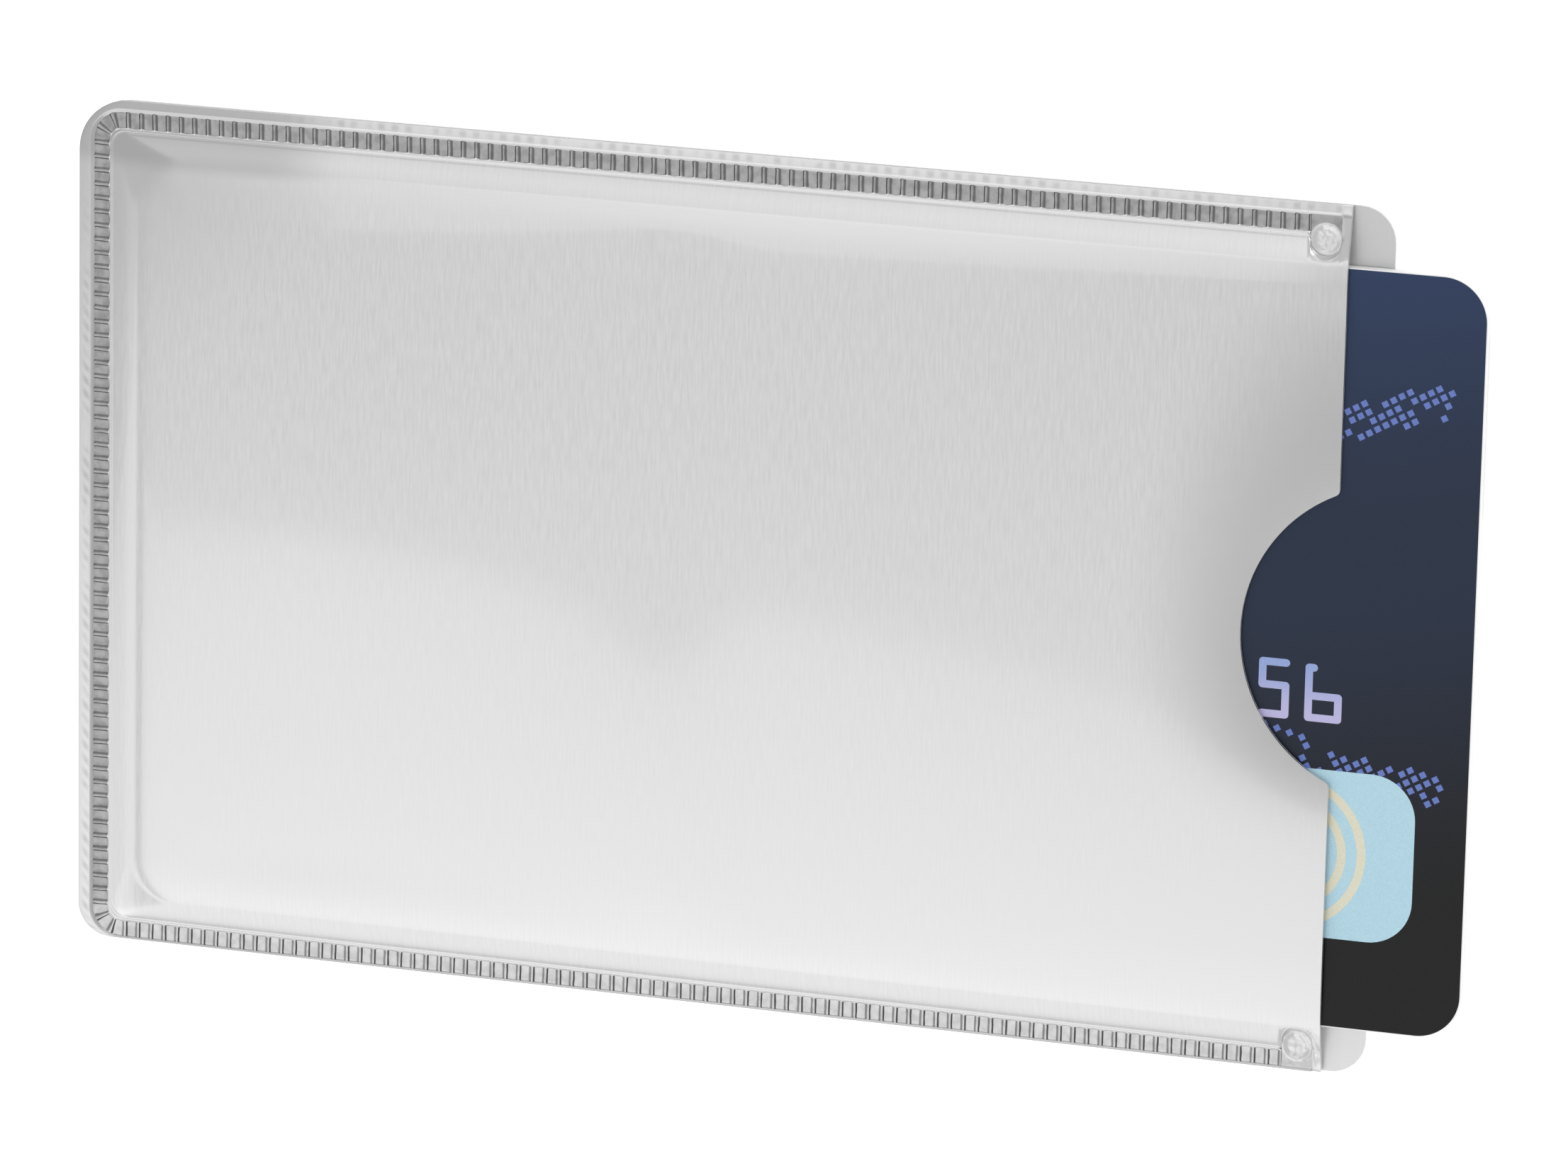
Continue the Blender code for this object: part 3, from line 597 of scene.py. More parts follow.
def make_grained(name, low, high, roughness, grains=8.0, depth=0.003 * MM, **plain):
    """An even finish with a fine grain in its colour, roughness and surface."""
    made, tree, shader = new_finish(name, **plain)
    grain = group_node(tree, GRAIN, Grains_per_mm=grains).outputs["Grain"]
    colour = mix(tree, ramp(tree, grain, *NOISE_SPAN), low, high)
    tree.links.new(colour, shader.inputs["Base Color"])
    rough = (roughness - 0.04, roughness + 0.04)
    uneven_surface(tree, shader, grain, NOISE_SPAN, rough, depth)
    return made


GOLD_COLOURS = ((0.80, 0.60, 0.30, 1.0), (0.90, 0.71, 0.38, 1.0))
COPPER_COLOURS = ((0.70, 0.36, 0.20, 1.0), (0.78, 0.44, 0.26, 1.0))
STRIPE_COLOURS = ((0.022, 0.014, 0.012, 1.0), (0.034, 0.022, 0.018, 1.0))
RESIN_COLOURS = (grey(0.02), grey(0.035))
WRITING_COLOURS = (grey(0.72, 0.01), grey(0.80, 0.01))

CARD_FRONT = make_card_print("card_front_gloss", printed_side_up=True, roughness=0.34)
CARD_BACK = make_card_print("card_back_gloss", printed_side_up=False, roughness=0.34)
CARD_INK = make_card_print("card_ink", printed_side_up=False, roughness=0.45)
CARD_WHITE = make_grained("card_white", grey(0.80), grey(0.86), roughness=0.42)
GOLD = make_grained(
    "contact_gold", *GOLD_COLOURS, roughness=0.24, grains=5.0, depth=0.004 * MM, Metallic=1.0
)
COPPER = make_grained("copper", *COPPER_COLOURS, roughness=0.34, Metallic=1.0)
RESIN = make_grained("black_resin", *RESIN_COLOURS, roughness=0.55, grains=6.0, depth=0.01 * MM)
STRIPE = make_grained("stripe", *STRIPE_COLOURS, roughness=0.30)
WRITING = make_grained(
    "writing_panel", *WRITING_COLOURS, roughness=0.75, grains=10.0, depth=0.006 * MM
)
print("finishes:", len(bpy.data.materials))

# %% [markdown]
# ## Flat shapes
#
# Outlines are lists of points. A constrained Delaunay triangulation fills an outline with
# triangles and can also take points inside it, so one helper makes the smooth middle of
# the sleeve, the melted dots and the printed figures alike.

# %% Outlines and patches


def arc(centre_x, centre_y, radius, start, stop, steps):
    """Points along an arc, both ends among them."""
    turns = [start + (stop - start) * i / steps for i in range(steps + 1)]
    return [(centre_x + radius * math.cos(a), centre_y + radius * math.sin(a)) for a in turns]


def spread(start, stop, count):
    """Points evenly between two points, neither of them among them."""
    shares = [(i + 1) / (count + 1) for i in range(count)]
    return [tuple(a + (b - a) * share for a, b in zip(start, stop)) for share in shares]


def staggered(low_x, low_y, columns, rows, step):
    """Points of a grid in rows, every second row half a step on."""
    points = []
    for row in range(rows):
        for column in range(columns):
            points.append((low_x + step * (column + (row % 2) / 2), low_y + step * row))
    return points


def counterclockwise(outline):
    """The outline, turned round if it runs clockwise, because the filler wants it so."""
    following = outline[1:] + outline[:1]
    area = sum(ax * by - bx * ay for (ax, ay), (bx, by) in zip(outline, following)) / 2
    return outline if area > 0 else outline[::-1]


INSIDE_ONLY = 1
FILL_GAP = 1e-7


def fill(outlines, inner_points=()):
    """Triangles that cover any of the outlines, as 2-D points and faces."""
    points = []
    loops = []
    for outline in outlines:
        outline = counterclockwise(outline)
        loops.append(list(range(len(points), len(points) + len(outline))))
        points += outline
    points += list(inner_points)
    made = delaunay_2d_cdt([Vector(p) for p in points], [], loops, INSIDE_ONLY, FILL_GAP)
    flat_points, faces, origins = made[0], made[2], made[5]
    covered = [face for face, origin in zip(faces, origins) if origin]
    return [tuple(p) for p in flat_points], covered


def new_object(name, points, faces):
    """A mesh object at the origin, in the scene."""
    mesh = bpy.data.meshes.new(name)
    mesh.from_pydata(points, [], faces)
    mesh.update()
    made = bpy.data.objects.new(name, mesh)
    bpy.context.scene.collection.objects.link(made)
    return made


def set_values(made, label, values):
    """A value for each point of a mesh, which its finish can read by name."""
    made.data.attributes.new(label, "FLOAT", "POINT").data.foreach_set("value", values)


def plate_between(name, flat, faces, bottom, heights):
    """A closed solid over a filled outline, with a height for each point."""
    points = [(x, y, bottom + height) for (x, y), height in zip(flat, heights)]
    points += [(x, y, bottom) for x, y in flat]
    top = len(flat)
    solid = list(faces) + [tuple(i + top for i in reversed(face)) for face in faces]
    edges = set()
    for face in faces:
        edges.update((a, face[(i + 1) % len(face)]) for i, a in enumerate(face))
    solid += [(b, a, a + top, b + top) for a, b in edges if (b, a) not in edges]
    made = new_object(name, points, solid)
    tidy_mesh(made.data)
    return made


SAME_POINT = 0.0002 * MM
SHARP_ANGLE = math.radians(40)


def tidy_mesh(mesh):
    """Merges doubles, drops what they leave over, and turns every face outwards."""
    work = bmesh.new()
    work.from_mesh(mesh)
    bmesh.ops.remove_doubles(work, verts=work.verts, dist=SAME_POINT)
    loose = [v for v in work.verts if not v.link_faces]
    bmesh.ops.delete(work, geom=loose, context="VERTS")
    bmesh.ops.recalc_face_normals(work, faces=work.faces)
    work.to_mesh(mesh)
    work.free()
    mesh.shade_smooth()
    mesh.set_sharp_from_angle(angle=SHARP_ANGLE)


def settle(piece, body, finish=None, replaced=()):
    """Gives a finished piece its body, its finish and the nodes it stands for."""
    if finish is not None:
        piece.data.materials.clear()
        piece.data.materials.append(finish)
    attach(piece, body)
    if replaced:
        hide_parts(*replaced)
    print(f"{piece.name}: {len(piece.data.polygons)} faces on {body}")


# %% [markdown]
# ## Geometry Nodes: from a surface to a sheet
#
# Films are surfaces with a little thickness. The trees below raise a surface by its lift
# and close it into a solid: they extrude the faces upwards and put the first faces, turned
# over, back underneath.

# %% Tree: close a surface into a solid

GEOMETRY_IN = ("Geometry", "NodeSocketGeometry", None)
FINISH_IN = ("Finish", "NodeSocketMaterial", None)
GEOMETRY_OUT = ("Geometry", "NodeSocketGeometry")
SURFACE_GAP = 0.0005 * MM


def build_closing_group():
    """A tree that makes a solid of even thickness over a surface."""
    tree, given, result = new_group(
        "close_surface",
        "GeometryNodeTree",
        [GEOMETRY_IN, ("Thickness", "NodeSocketFloat", 0.1 * MM)],
        [GEOMETRY_OUT],
    )
    raised = add(
        tree,
        "GeometryNodeExtrudeMesh",
        {
            "Mesh": given.outputs["Geometry"],
            "Offset": (0, 0, 1),
            "Offset Scale": given.outputs["Thickness"],
            "Individual": False,
        },
    )
    under = add(tree, "GeometryNodeFlipFaces", {"Mesh": given.outputs["Geometry"]})
    both = add(tree, "GeometryNodeJoinGeometry")
    tree.links.new(raised.outputs["Mesh"], both.inputs[0])
    tree.links.new(under.outputs["Mesh"], both.inputs[0])
    inputs = {"Geometry": both.outputs[0], "Distance": SURFACE_GAP}
    welded = add(tree, "GeometryNodeMergeByDistance", inputs)
    tree.links.new(welded.outputs[0], result.inputs[0])
    return tree


CLOSE_SURFACE = build_closing_group()

# %% Tree: one ply of a sheet


def close_and_paint(tree, surface, given):
    """The nodes that close a surface and give it the finish named in the tree's inputs."""
    closed = add(tree, "GeometryNodeGroup", node_tree=CLOSE_SURFACE)
    tree.links.new(surface, closed.inputs["Geometry"])
    tree.links.new(given.outputs["Thickness"], closed.inputs["Thickness"])
    inputs = {"Geometry": closed.outputs[0], "Material": given.outputs["Finish"]}
    return add(tree, "GeometryNodeSetMaterial", inputs).outputs[0]


def build_ply_tree():
    """A tree that lifts a surface, closes it and paints it."""
    tree, given, result = new_group(
        "sheet_ply",
        "GeometryNodeTree",
        [
            GEOMETRY_IN,
            ("Lift", "NodeSocketFloat", 0.0),
            ("Thickness", "NodeSocketFloat", 0.1 * MM),
            FINISH_IN,
        ],
        [GEOMETRY_OUT],
    )
    offset = add(tree, "ShaderNodeCombineXYZ", {"Z": given.outputs["Lift"]})
    inputs = {"Geometry": given.outputs["Geometry"], "Offset": offset.outputs[0]}
    placed = add(tree, "GeometryNodeSetPosition", inputs)
    painted = close_and_paint(tree, placed.outputs[0], given)
    real = add(tree, "GeometryNodeRealizeInstances", {"Geometry": painted})
    tree.links.new(real.outputs[0], result.inputs[0])
    return tree


PLY_TREE = build_ply_tree()

# %% Run a tree and keep its mesh


def run_tree(host, tree, name, values):
    """Runs a tree on the host object with named values; returns the result as a new object."""
    modifier = host.modifiers.new(tree.name, "NODES")
    modifier.node_group = tree
    for item in tree.interface.items_tree:
        if item.in_out == "INPUT" and item.name in values:
            modifier[item.identifier] = values[item.name]
    shaped = host.evaluated_get(bpy.context.evaluated_depsgraph_get())
    mesh = bpy.data.meshes.new_from_object(shaped)
    mesh.name = name
    host.modifiers.remove(modifier)
    tidy_mesh(mesh)
    made = bpy.data.objects.new(name, mesh)
    bpy.context.scene.collection.objects.link(made)
    return made


# %% [markdown]
# ## The front sheet
#
# The front sheet is pressed flat along the weld and lifts over the card in a soft step.
# The solids have that step in a few facets. Here it gets many rings: the cut edge, the
# pressed channel, a fine rim where the film swelled beside the weld, the steep rise to the
# card's edge, and a long gentle swell over the card. The middle is a fine patch with the
# thumb notch cut in.

# %% Sizes of the sleeve, read from the model or shared with it

BACK_LOW, BACK_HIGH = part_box("back_cover_film")
FRONT_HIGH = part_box("front_cover_film")[1]
LINING_LOW, LINING_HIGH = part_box("front_lining_film")
SEAM_LOW, SEAM_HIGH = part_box("weld_seam")
LEFT, MOUTH = BACK_LOW.x, FRONT_HIGH.x
LOW, HIGH = BACK_LOW.y, BACK_HIGH.y
CHANNEL_Z = LINING_LOW.z
CHANNEL_DEPTH = 0.12 * MM
LINING_THICKNESS = 0.10 * MM
FOIL_THICKNESS = 0.05 * MM
COVER_THICKNESS = 0.10 * MM
GLUE = 0.015 * MM
SEAM_WIDTH = 1.15 * MM
SEAM_FIT = 0.03 * MM
PAD_PITCH = 1.0 * MM
SEAM_INNER_RADIUS = 0.85 * MM
SEAM_OUTER_RADIUS = SEAM_INNER_RADIUS + SEAM_WIDTH
SHEET_RADIUS_UPPER = 3.70 * MM
SHEET_RADIUS_LOWER = 2.40 * MM
CARD_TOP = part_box("card_front_overlay")[1].z
CARD_GAP = -0.02 * MM
PLATEAU = CARD_TOP + CARD_GAP - CHANNEL_Z
CARD_SIDE_GAP = 0.25 * MM
CARD_END_ROOM = 2.10 * MM
CARD_STOP = SEAM_LOW.x + SEAM_WIDTH + CARD_END_ROOM
NOTCH_RADIUS = 11.28 * MM
NOTCH_DEPTH = 6.65 * MM
NOTCH_Y = 0.50 * MM
NOTCH_FILLET = 0.45 * MM
NOTCH_X = MOUTH + NOTCH_RADIUS - NOTCH_DEPTH
DOT_FROM_MOUTH = 1.75 * MM
DOT_ROOM = SEAM_HIGH.y - SEAM_WIDTH - CARD_HIGH.y - CARD_SIDE_GAP
DOT_RADIUS = 0.58 * DOT_ROOM
DOT_OFFSET = 0.23 * DOT_ROOM
print(f"sheet {(MOUTH - LEFT) / MM:.2f} by {(HIGH - LOW) / MM:.2f} mm")
print(f"dot radius {DOT_RADIUS / MM:.2f} mm")

# %% Rings of the front sheet

LONG_STEPS = 170
SHORT_STEPS = 110
CORNER_STEPS = 14
DOT_STEPS = 24
DOT_FILLET = 0.34 * MM
DOT_FILLET_STEPS = 6
CHANNEL_FADE = 0.14 * MM
CHANNEL_UNDER_END = 0.12 * MM


def dot_stations(reach):
    """The channel's inner edge round a dot, as distance from the mouth and reach inwards."""
    fillet, steps = DOT_FILLET, DOT_FILLET_STEPS
    near, far = DOT_FROM_MOUTH - reach, DOT_FROM_MOUTH + reach
    entry = arc(near - fillet, fillet, fillet, -QUARTER, 0, steps)
    bulge = arc(DOT_FROM_MOUTH, DOT_OFFSET, reach, math.pi, 0, DOT_STEPS)
    leave = arc(far + fillet, fillet, fillet, 2 * QUARTER, 3 * QUARTER, steps)
    return entry + bulge + leave


def plain_stations():
    """As many places as round a dot, on a straight run."""
    round_dot = [station[0] for station in dot_stations(DOT_RADIUS + SEAM_FIT)]
    ends = DOT_FILLET_STEPS + 1
    near, far = round_dot[ends - 1], round_dot[-ends]
    evenly = [away for (away,) in spread((near,), (far,), DOT_STEPS + 1)]
    return [(away, 0) for away in round_dot[:ends] + evenly + round_dot[-ends:]]


def open_ring(left, low, high, radius_low, radius_high, stations):
    """Points from the mouth's upper side round the closed end to the mouth's lower side."""
    upper = [(MOUTH, high)] + [(MOUTH - away, high - inward) for away, inward in stations]
    corner_high = arc(
        left + radius_high, high - radius_high, radius_high, QUARTER, 2 * QUARTER, CORNER_STEPS
    )
    corner_low = arc(
        left + radius_low, low + radius_low, radius_low, 2 * QUARTER, 3 * QUARTER, CORNER_STEPS
    )
    lower = [(MOUTH - away, low + inward) for away, inward in reversed(stations)]
    lower.append((MOUTH, low))
    ring = upper + spread(upper[-1], corner_high[0], LONG_STEPS) + corner_high
    ring += spread(corner_high[-1], corner_low[0], SHORT_STEPS) + corner_low
    return ring + spread(corner_low[-1], lower[0], LONG_STEPS) + lower


def seam_ring(outset, radius, stations, low_outset=None):
    """A ring that runs at a distance outside the seam's outer edge, on the lower side its own."""
    low_outset = outset if low_outset is None else low_outset
    low_radius = radius - outset + low_outset
    low, high = SEAM_LOW.y - low_outset, SEAM_HIGH.y + outset
    return open_ring(SEAM_LOW.x - outset, low, high, low_radius, radius, stations)


def card_ring(inset, radius):
    """A ring that runs inside the outline that the card slides in."""
    reach = CARD_SIDE_GAP - inset
    return open_ring(
        CARD_STOP + inset, CARD_LOW.y - reach, CARD_HIGH.y + reach, radius, radius, plain_stations()
    )


def blend(first, second, share):
    """A ring part of the way from one ring to another."""
    return [tuple(a + (b - a) * share for a, b in zip(p, q)) for p, q in zip(first, second)]


# %% [markdown]
# Each ring comes with its height over the channel's floor. Beside the weld the film swelled
# into a small bead. From there it climbs to the card's edge in a slope that eases off, bends
# over a round shoulder and swells gently over the card, which makes the soft bright band
# along the sleeve's upper side. Towards the mouth the channel ends, because the seam
# does, and from there the free film rises to the card in one curve.

# %% Heights of the rings

MARGIN_PROFILE = ((0.0, 0.105), (0.25, 0.120), (0.6, 0.120), (0.85, 0.128), (1.0, 0.130))
MARGIN_WALL = 0.26 * MM
LOW_WALL_SHARE = 0.6
BEAD_PROFILE = ((0.012, 0.110), (0.028, 0.142), (0.045, 0.146), (0.065, 0.134), (0.085, 0.130))
RISE_START = 0.10
RISE_STEPS = 18
RISE_BEND = 0.30
RISE_EASE = 0.12
SHOULDER = 0.12 * MM
SHOULDER_REACH = 0.50 * MM
SWELL = 0.08 * MM
SWELL_REACH = 3.0 * MM
SWELL_INSETS = (0.12 * MM, 0.28 * MM, 0.5 * MM, 0.8 * MM, 1.2 * MM, 1.8 * MM, 2.7 * MM)
CHANNEL_END = MOUTH - DOT_FROM_MOUTH + DOT_RADIUS - CHANNEL_UNDER_END
FREE_LEVEL = 0.12 * MM


def soft_step(share):
    """0 below 0, 1 above 1, and an even S between."""
    share = min(1.0, max(0.0, share))
    return share * share * (3 - 2 * share)


def rise(share):
    """A climb from 0 to 1 that starts softly, is soon steepest and then eases off."""
    start = soft_step(share / RISE_EASE) if share < RISE_EASE else 1.0
    return share * start * (1 + RISE_BEND * (1 - share))


def front_rings():
    """The rings from the cut edge to the card's middle, each with its height."""
    plain = plain_stations()
    edge = open_ring(LEFT, LOW, HIGH, SHEET_RADIUS_LOWER, SHEET_RADIUS_UPPER, plain)
    low_wall = LOW_WALL_SHARE * (SEAM_LOW.y - LOW)
    wall_top = seam_ring(MARGIN_WALL, SEAM_OUTER_RADIUS + MARGIN_WALL, plain, low_wall)
    floor_outer = seam_ring(SEAM_FIT, SEAM_OUTER_RADIUS + SEAM_FIT, plain)
    stations = dot_stations(DOT_RADIUS + SEAM_FIT)
    floor_inner = seam_ring(-SEAM_WIDTH - SEAM_FIT, SEAM_INNER_RADIUS - SEAM_FIT, stations)
    over_card = card_ring(0.0, CARD_RADIUS + CARD_SIDE_GAP)
    rings = [(blend(edge, wall_top, share), height * MM) for share, height in MARGIN_PROFILE]
    rings += [(floor_outer, 0.0), (floor_inner, 0.0)]
    rings += [(blend(floor_inner, over_card, s), height * MM) for s, height in BEAD_PROFILE]
    low = BEAD_PROFILE[-1][1] * MM
    for i in range(1, RISE_STEPS + 1):
        share = RISE_START + (1 - RISE_START) * i / RISE_STEPS
        height = low + (PLATEAU - low) * rise(i / RISE_STEPS)
        rings.append((blend(floor_inner, over_card, share), height))
    for inset in SWELL_INSETS:
        rings.append((card_ring(inset, CARD_RADIUS + CARD_SIDE_GAP), PLATEAU))
    return rings


# %% The mouth's edge and the middle of the sheet

NOTCH_STEPS = 44
FILLET_STEPS = 6
MOUTH_STEPS = 24
GRID_STEP = 0.95 * MM
GRID_MARGIN = 0.45 * MM


def notch_edge():
    """The mouth's edge from lower to upper side, round the thumb notch and its soft corners."""
    fillet_x = MOUTH - NOTCH_FILLET
    reach = NOTCH_RADIUS + NOTCH_FILLET
    fillet_y = math.sqrt(reach * reach - (NOTCH_X - fillet_x) ** 2)
    lean = math.asin(fillet_y / reach)
    lower = arc(fillet_x, NOTCH_Y - fillet_y, NOTCH_FILLET, 0, lean, FILLET_STEPS)
    bite = arc(NOTCH_X, NOTCH_Y, NOTCH_RADIUS, math.pi + lean, math.pi - lean, NOTCH_STEPS)
    upper = arc(fillet_x, NOTCH_Y + fillet_y, NOTCH_FILLET, -lean, 0, FILLET_STEPS)
    return lower + bite[1:-1] + upper


def depth_inside(x, y, inset, radius):
    """Distance inside a card ring, with its round corners at the closed end."""
    left = CARD_STOP + inset
    high = CARD_HIGH.y + CARD_SIDE_GAP - inset
    low = CARD_LOW.y - CARD_SIDE_GAP + inset
    side = min(high - y, y - low)
    end = x - left
    if side < radius and end < radius:
        return radius - math.hypot(radius - side, radius - end)
    return min(side, end)


def middle_points(last_inset):
    """A staggered grid over the card, clear of its own border."""
    rows = int((HIGH - LOW) / GRID_STEP)
    columns = int((MOUTH - LEFT) / GRID_STEP)
    points = []
    for x, y in staggered(LEFT, LOW, columns, rows, GRID_STEP):
        clear_of_ring = depth_inside(x, y, last_inset, CARD_RADIUS) > GRID_MARGIN
        clear_of_notch = math.hypot(x - NOTCH_X, y - NOTCH_Y) > NOTCH_RADIUS + GRID_MARGIN
        if clear_of_ring and clear_of_notch and x < MOUTH - GRID_MARGIN:
            points.append((x, y))
    return points


# %% [markdown]
# Real film never lies quite flat. Over the card it carries long shallow waves, which is why
# a straight lamp edge shows in it as a wandering line. The waves are given as slopes at a
# few places along the sleeve, joined smoothly, and they fade above and below one level.
# Round the thumb notch and along the mouth above it the film bends down, because nothing
# holds it there. All of it stays within two tenths of a millimetre, because the card slides
# just below.

# %% Long waves over the card

WAVE_LEVEL = -5.0 * MM
WAVE_REACH = 7.5 * MM
WAVE_SHARE = 1.12
WAVE_PLACES = (-46, -40, -31, -17, -8, -3.6, -1.8, 4, 10, 20, 31, 46)
WAVE_SLOPES = (
    (0.002, 0.003, 0.0055, 0.0023, -0.0018, -0.0056)
    + (-0.0036, 0.0008, 0.0, -0.0014, -0.003, -0.006)
)
BLUR_STEP = 0.9 * MM
BLUR_WEIGHTS = (1, 2, 3, 4, 3, 2, 1)
NOTCH_DROP = 0.06 * MM
NOTCH_DROP_REACH = 2.6 * MM
MOUTH_DROP = 0.06 * MM
MOUTH_DROP_REACH = 4.7 * MM
MOUTH_DROP_FROM = -12.0 * MM
MOUTH_DROP_TO = 4.0 * MM
EDGE_FADE = 5.0 * MM


def wave_slope(x):
    """The waves' slope across the sleeve at a place along it, evened out along the sleeve."""
    places = [place * MM for place in WAVE_PLACES]
    middle = len(BLUR_WEIGHTS) // 2
    nearby = [x + (i - middle) * BLUR_STEP for i in range(len(BLUR_WEIGHTS))]
    return float(np.average(np.interp(nearby, places, WAVE_SLOPES), weights=BLUR_WEIGHTS))


def film_relief(x, y):
    """Height of the film over the level that it has at the card's outline."""
    depth = max(0.0, depth_inside(x, y, 0.0, CARD_RADIUS))
    edge = soft_step(depth / EDGE_FADE)
    height = SHOULDER * (1 - math.exp(-depth / SHOULDER_REACH))
    height += SWELL * (1 - math.exp(-depth / SWELL_REACH))
    wave = WAVE_REACH * math.tanh((y - WAVE_LEVEL) / WAVE_REACH)
    height += edge * WAVE_SHARE * wave_slope(x) * wave
    away = max(0.0, math.hypot(x - NOTCH_X, y - NOTCH_Y) - NOTCH_RADIUS)
    height -= edge * NOTCH_DROP * math.exp(-away / NOTCH_DROP_REACH)
    upper = soft_step((y - MOUTH_DROP_FROM) / (MOUTH_DROP_TO - MOUTH_DROP_FROM))
    height -= edge * upper * MOUTH_DROP * math.exp((x - MOUTH) / MOUTH_DROP_REACH)
    return height


# %% Build the three plies


def free_level(x, y, level):
    """The level of the sheet's border, which near the mouth gives way to one soft curve."""
    free = soft_step((x - CHANNEL_END) / (MOUTH - CHANNEL_END))
    reach = HIGH - CARD_HIGH.y - CARD_SIDE_GAP if y > 0 else CARD_LOW.y - CARD_SIDE_GAP - LOW
    depth = min(HIGH - y, y - LOW)
    curve = FREE_LEVEL + (PLATEAU - FREE_LEVEL) * soft_step(depth / reach)
    return level + (curve - level) * free


def along_ring(ring):
    """Distance along a ring from where the row of pads starts, in pads."""
    total = 0.0
    lengths = [0.0]
    for (ax, ay), (bx, by) in zip(ring, ring[1:]):
        total += math.hypot(bx - ax, by - ay)
        lengths.append(total)
    start = MOUTH - SEAM_HIGH.x
    return [(length - start) / PAD_PITCH for length in lengths]


def outside_weld(x, y):
    """Distance of a point outside the weld's outer edge; negative inside it."""
    radius = SEAM_OUTER_RADIUS
    left, low, high = SEAM_LOW.x, SEAM_LOW.y, SEAM_HIGH.y
    if x < left + radius and (y > high - radius or y < low + radius):
        centre_y = high - radius if y > 0 else low + radius
        return math.hypot(x - left - radius, y - centre_y) - radius
    return max(left - x, y - high, low - y)


def front_surface():
    """The underside of the front sheet, and where each point lies beside the weld."""
    rings = front_rings()
    points = []
    faces = []
    along = []
    outside = []
    for ring, height in rings:
        for x, y in ring:
            outside.append(outside_weld(x, y))
            filled = CHANNEL_DEPTH * soft_step((x - CHANNEL_END) / CHANNEL_FADE)
            if height >= PLATEAU:
                level = height + film_relief(x, y)
            else:
                level = free_level(x, y, max(height, filled))
            points.append((x, y, CHANNEL_Z + level))
        along += along_ring(ring)
    count = len(rings[0][0])
    for ring in range(len(rings) - 1):
        for i in range(count - 1):
            a = ring * count + i
            faces.append((a, a + 1, a + 1 + count, a + count))
    last_ring = rings[-1][0]
    notch = notch_edge()
    mouth = spread(last_ring[-1], notch[0], MOUTH_STEPS) + notch
    mouth += spread(notch[-1], last_ring[0], MOUTH_STEPS)
    flat, patch = fill([last_ring + mouth], middle_points(SWELL_INSETS[-1]))
    start = len(points)
    points += [(x, y, CHANNEL_Z + PLATEAU + film_relief(x, y)) for x, y in flat]
    along += [0.0] * len(flat)
    outside += [outside_weld(x, y) for x, y in flat]
    faces += [tuple(start + i for i in face) for face in patch]
    made = new_object("front_surface", points, faces)
    set_values(made, "along_weld", along)
    set_values(made, "outside_weld", outside)
    heights = [z for x, y, z in points[start:]]
    room = min(heights) - CARD_TOP
    top = max(heights) + (FRONT_HIGH.z - LINING_HIGH.z) + LINING_THICKNESS
    print(f"film over card: {room / MM:.3f} mm of room, top at {top / MM:.3f} mm")
    orient_upwards(made.data)
    return made


PATCH_GAP = 0.001 * MM


def orient_upwards(mesh):
    """Welds the patch to the rings and turns all faces up."""
    work = bmesh.new()
    work.from_mesh(mesh)
    bmesh.ops.remove_doubles(work, verts=work.verts, dist=PATCH_GAP)
    for face in work.faces:
        face.normal_update()
        if face.normal.z < 0:
            face.normal_flip()
    work.to_mesh(mesh)
    work.free()


def build_front_sheet():
    """Lining, foil and cover film, each a ply over the same surface."""
    surface = front_surface()
    foil_lift = LINING_THICKNESS + GLUE
    cover_lift = foil_lift + FOIL_THICKNESS + GLUE
    lining = {"Lift": 0.0, "Thickness": LINING_THICKNESS, "Finish": LINING}
    foil = {"Lift": foil_lift, "Thickness": FOIL_THICKNESS, "Finish": FOIL}
    cover = {"Lift": cover_lift, "Thickness": COVER_THICKNESS, "Finish": FRONT_FILM}
    plies = (
        ("front_lining_skin", lining, "lining_film", "front_lining_film"),
        ("front_foil_skin", foil, "foil", "front_foil"),
        ("front_cover_skin", cover, "clear_film", "front_cover_film"),
    )
    for name, values, slot, node in plies:
        piece = run_tree(surface, PLY_TREE, name, values)
        settle(piece, "sleeve", replaced=[node])
    bpy.data.objects.remove(surface)


build_front_sheet()

# %% [markdown]
# ## The weld
#
# A toothed wheel pressed the two sheets together and left a row of sunk pads with ribs
# between them, some 240 of them round three sides. One pad is modelled, as a small grid
# whose heights make the dish and the ribs. Geometry Nodes repeats it along a straight
# line, and then wraps that line round the weld's path, so the pads turn into wedges at
# the corners by themselves.

# %% One pad of the weld

PAD_DEPTH = 0.085 * MM
PAD_ROUND = 0.07 * MM
STRIP_INNER = 0.05 * MM
STRIP_OUTER = 0.12 * MM
PAD_COLUMN_SHARES = (0.0, 0.05, 0.07, 0.14, 0.18, 0.45, 0.70, 0.78, 0.89, 0.94, 1.0)
PAD_COLUMN_HEIGHTS = (1.0, 0.96, 0.45, 0.0, 0.0, 0.06, 0.0, 0.12, 0.50, 0.96, 1.0)
# Painted shade above 0 and painted highlight below 0, across each pad and on its rim.
PAD_COLUMN_PAINTED_LIGHT = (-0.3, -0.1, 1.0, 1.0, 0.0, 0.0, 0.0, 0.62, 0.62, -0.1, -0.3)
PAD_ROW_SHARES = (0.0, 0.038, 0.085, 0.14, 0.49, 0.83, 0.93, 1.0)
PAD_ROW_HEIGHTS = (0.75, 0.95, 0.15, 0.0, 0.04, 0.0, -0.05, -0.3)
PAD_RIM_HIGHLIGHT = -0.8
PAD_ROOM = 0.09 * MM
WELD_CORNER_STEPS = 16


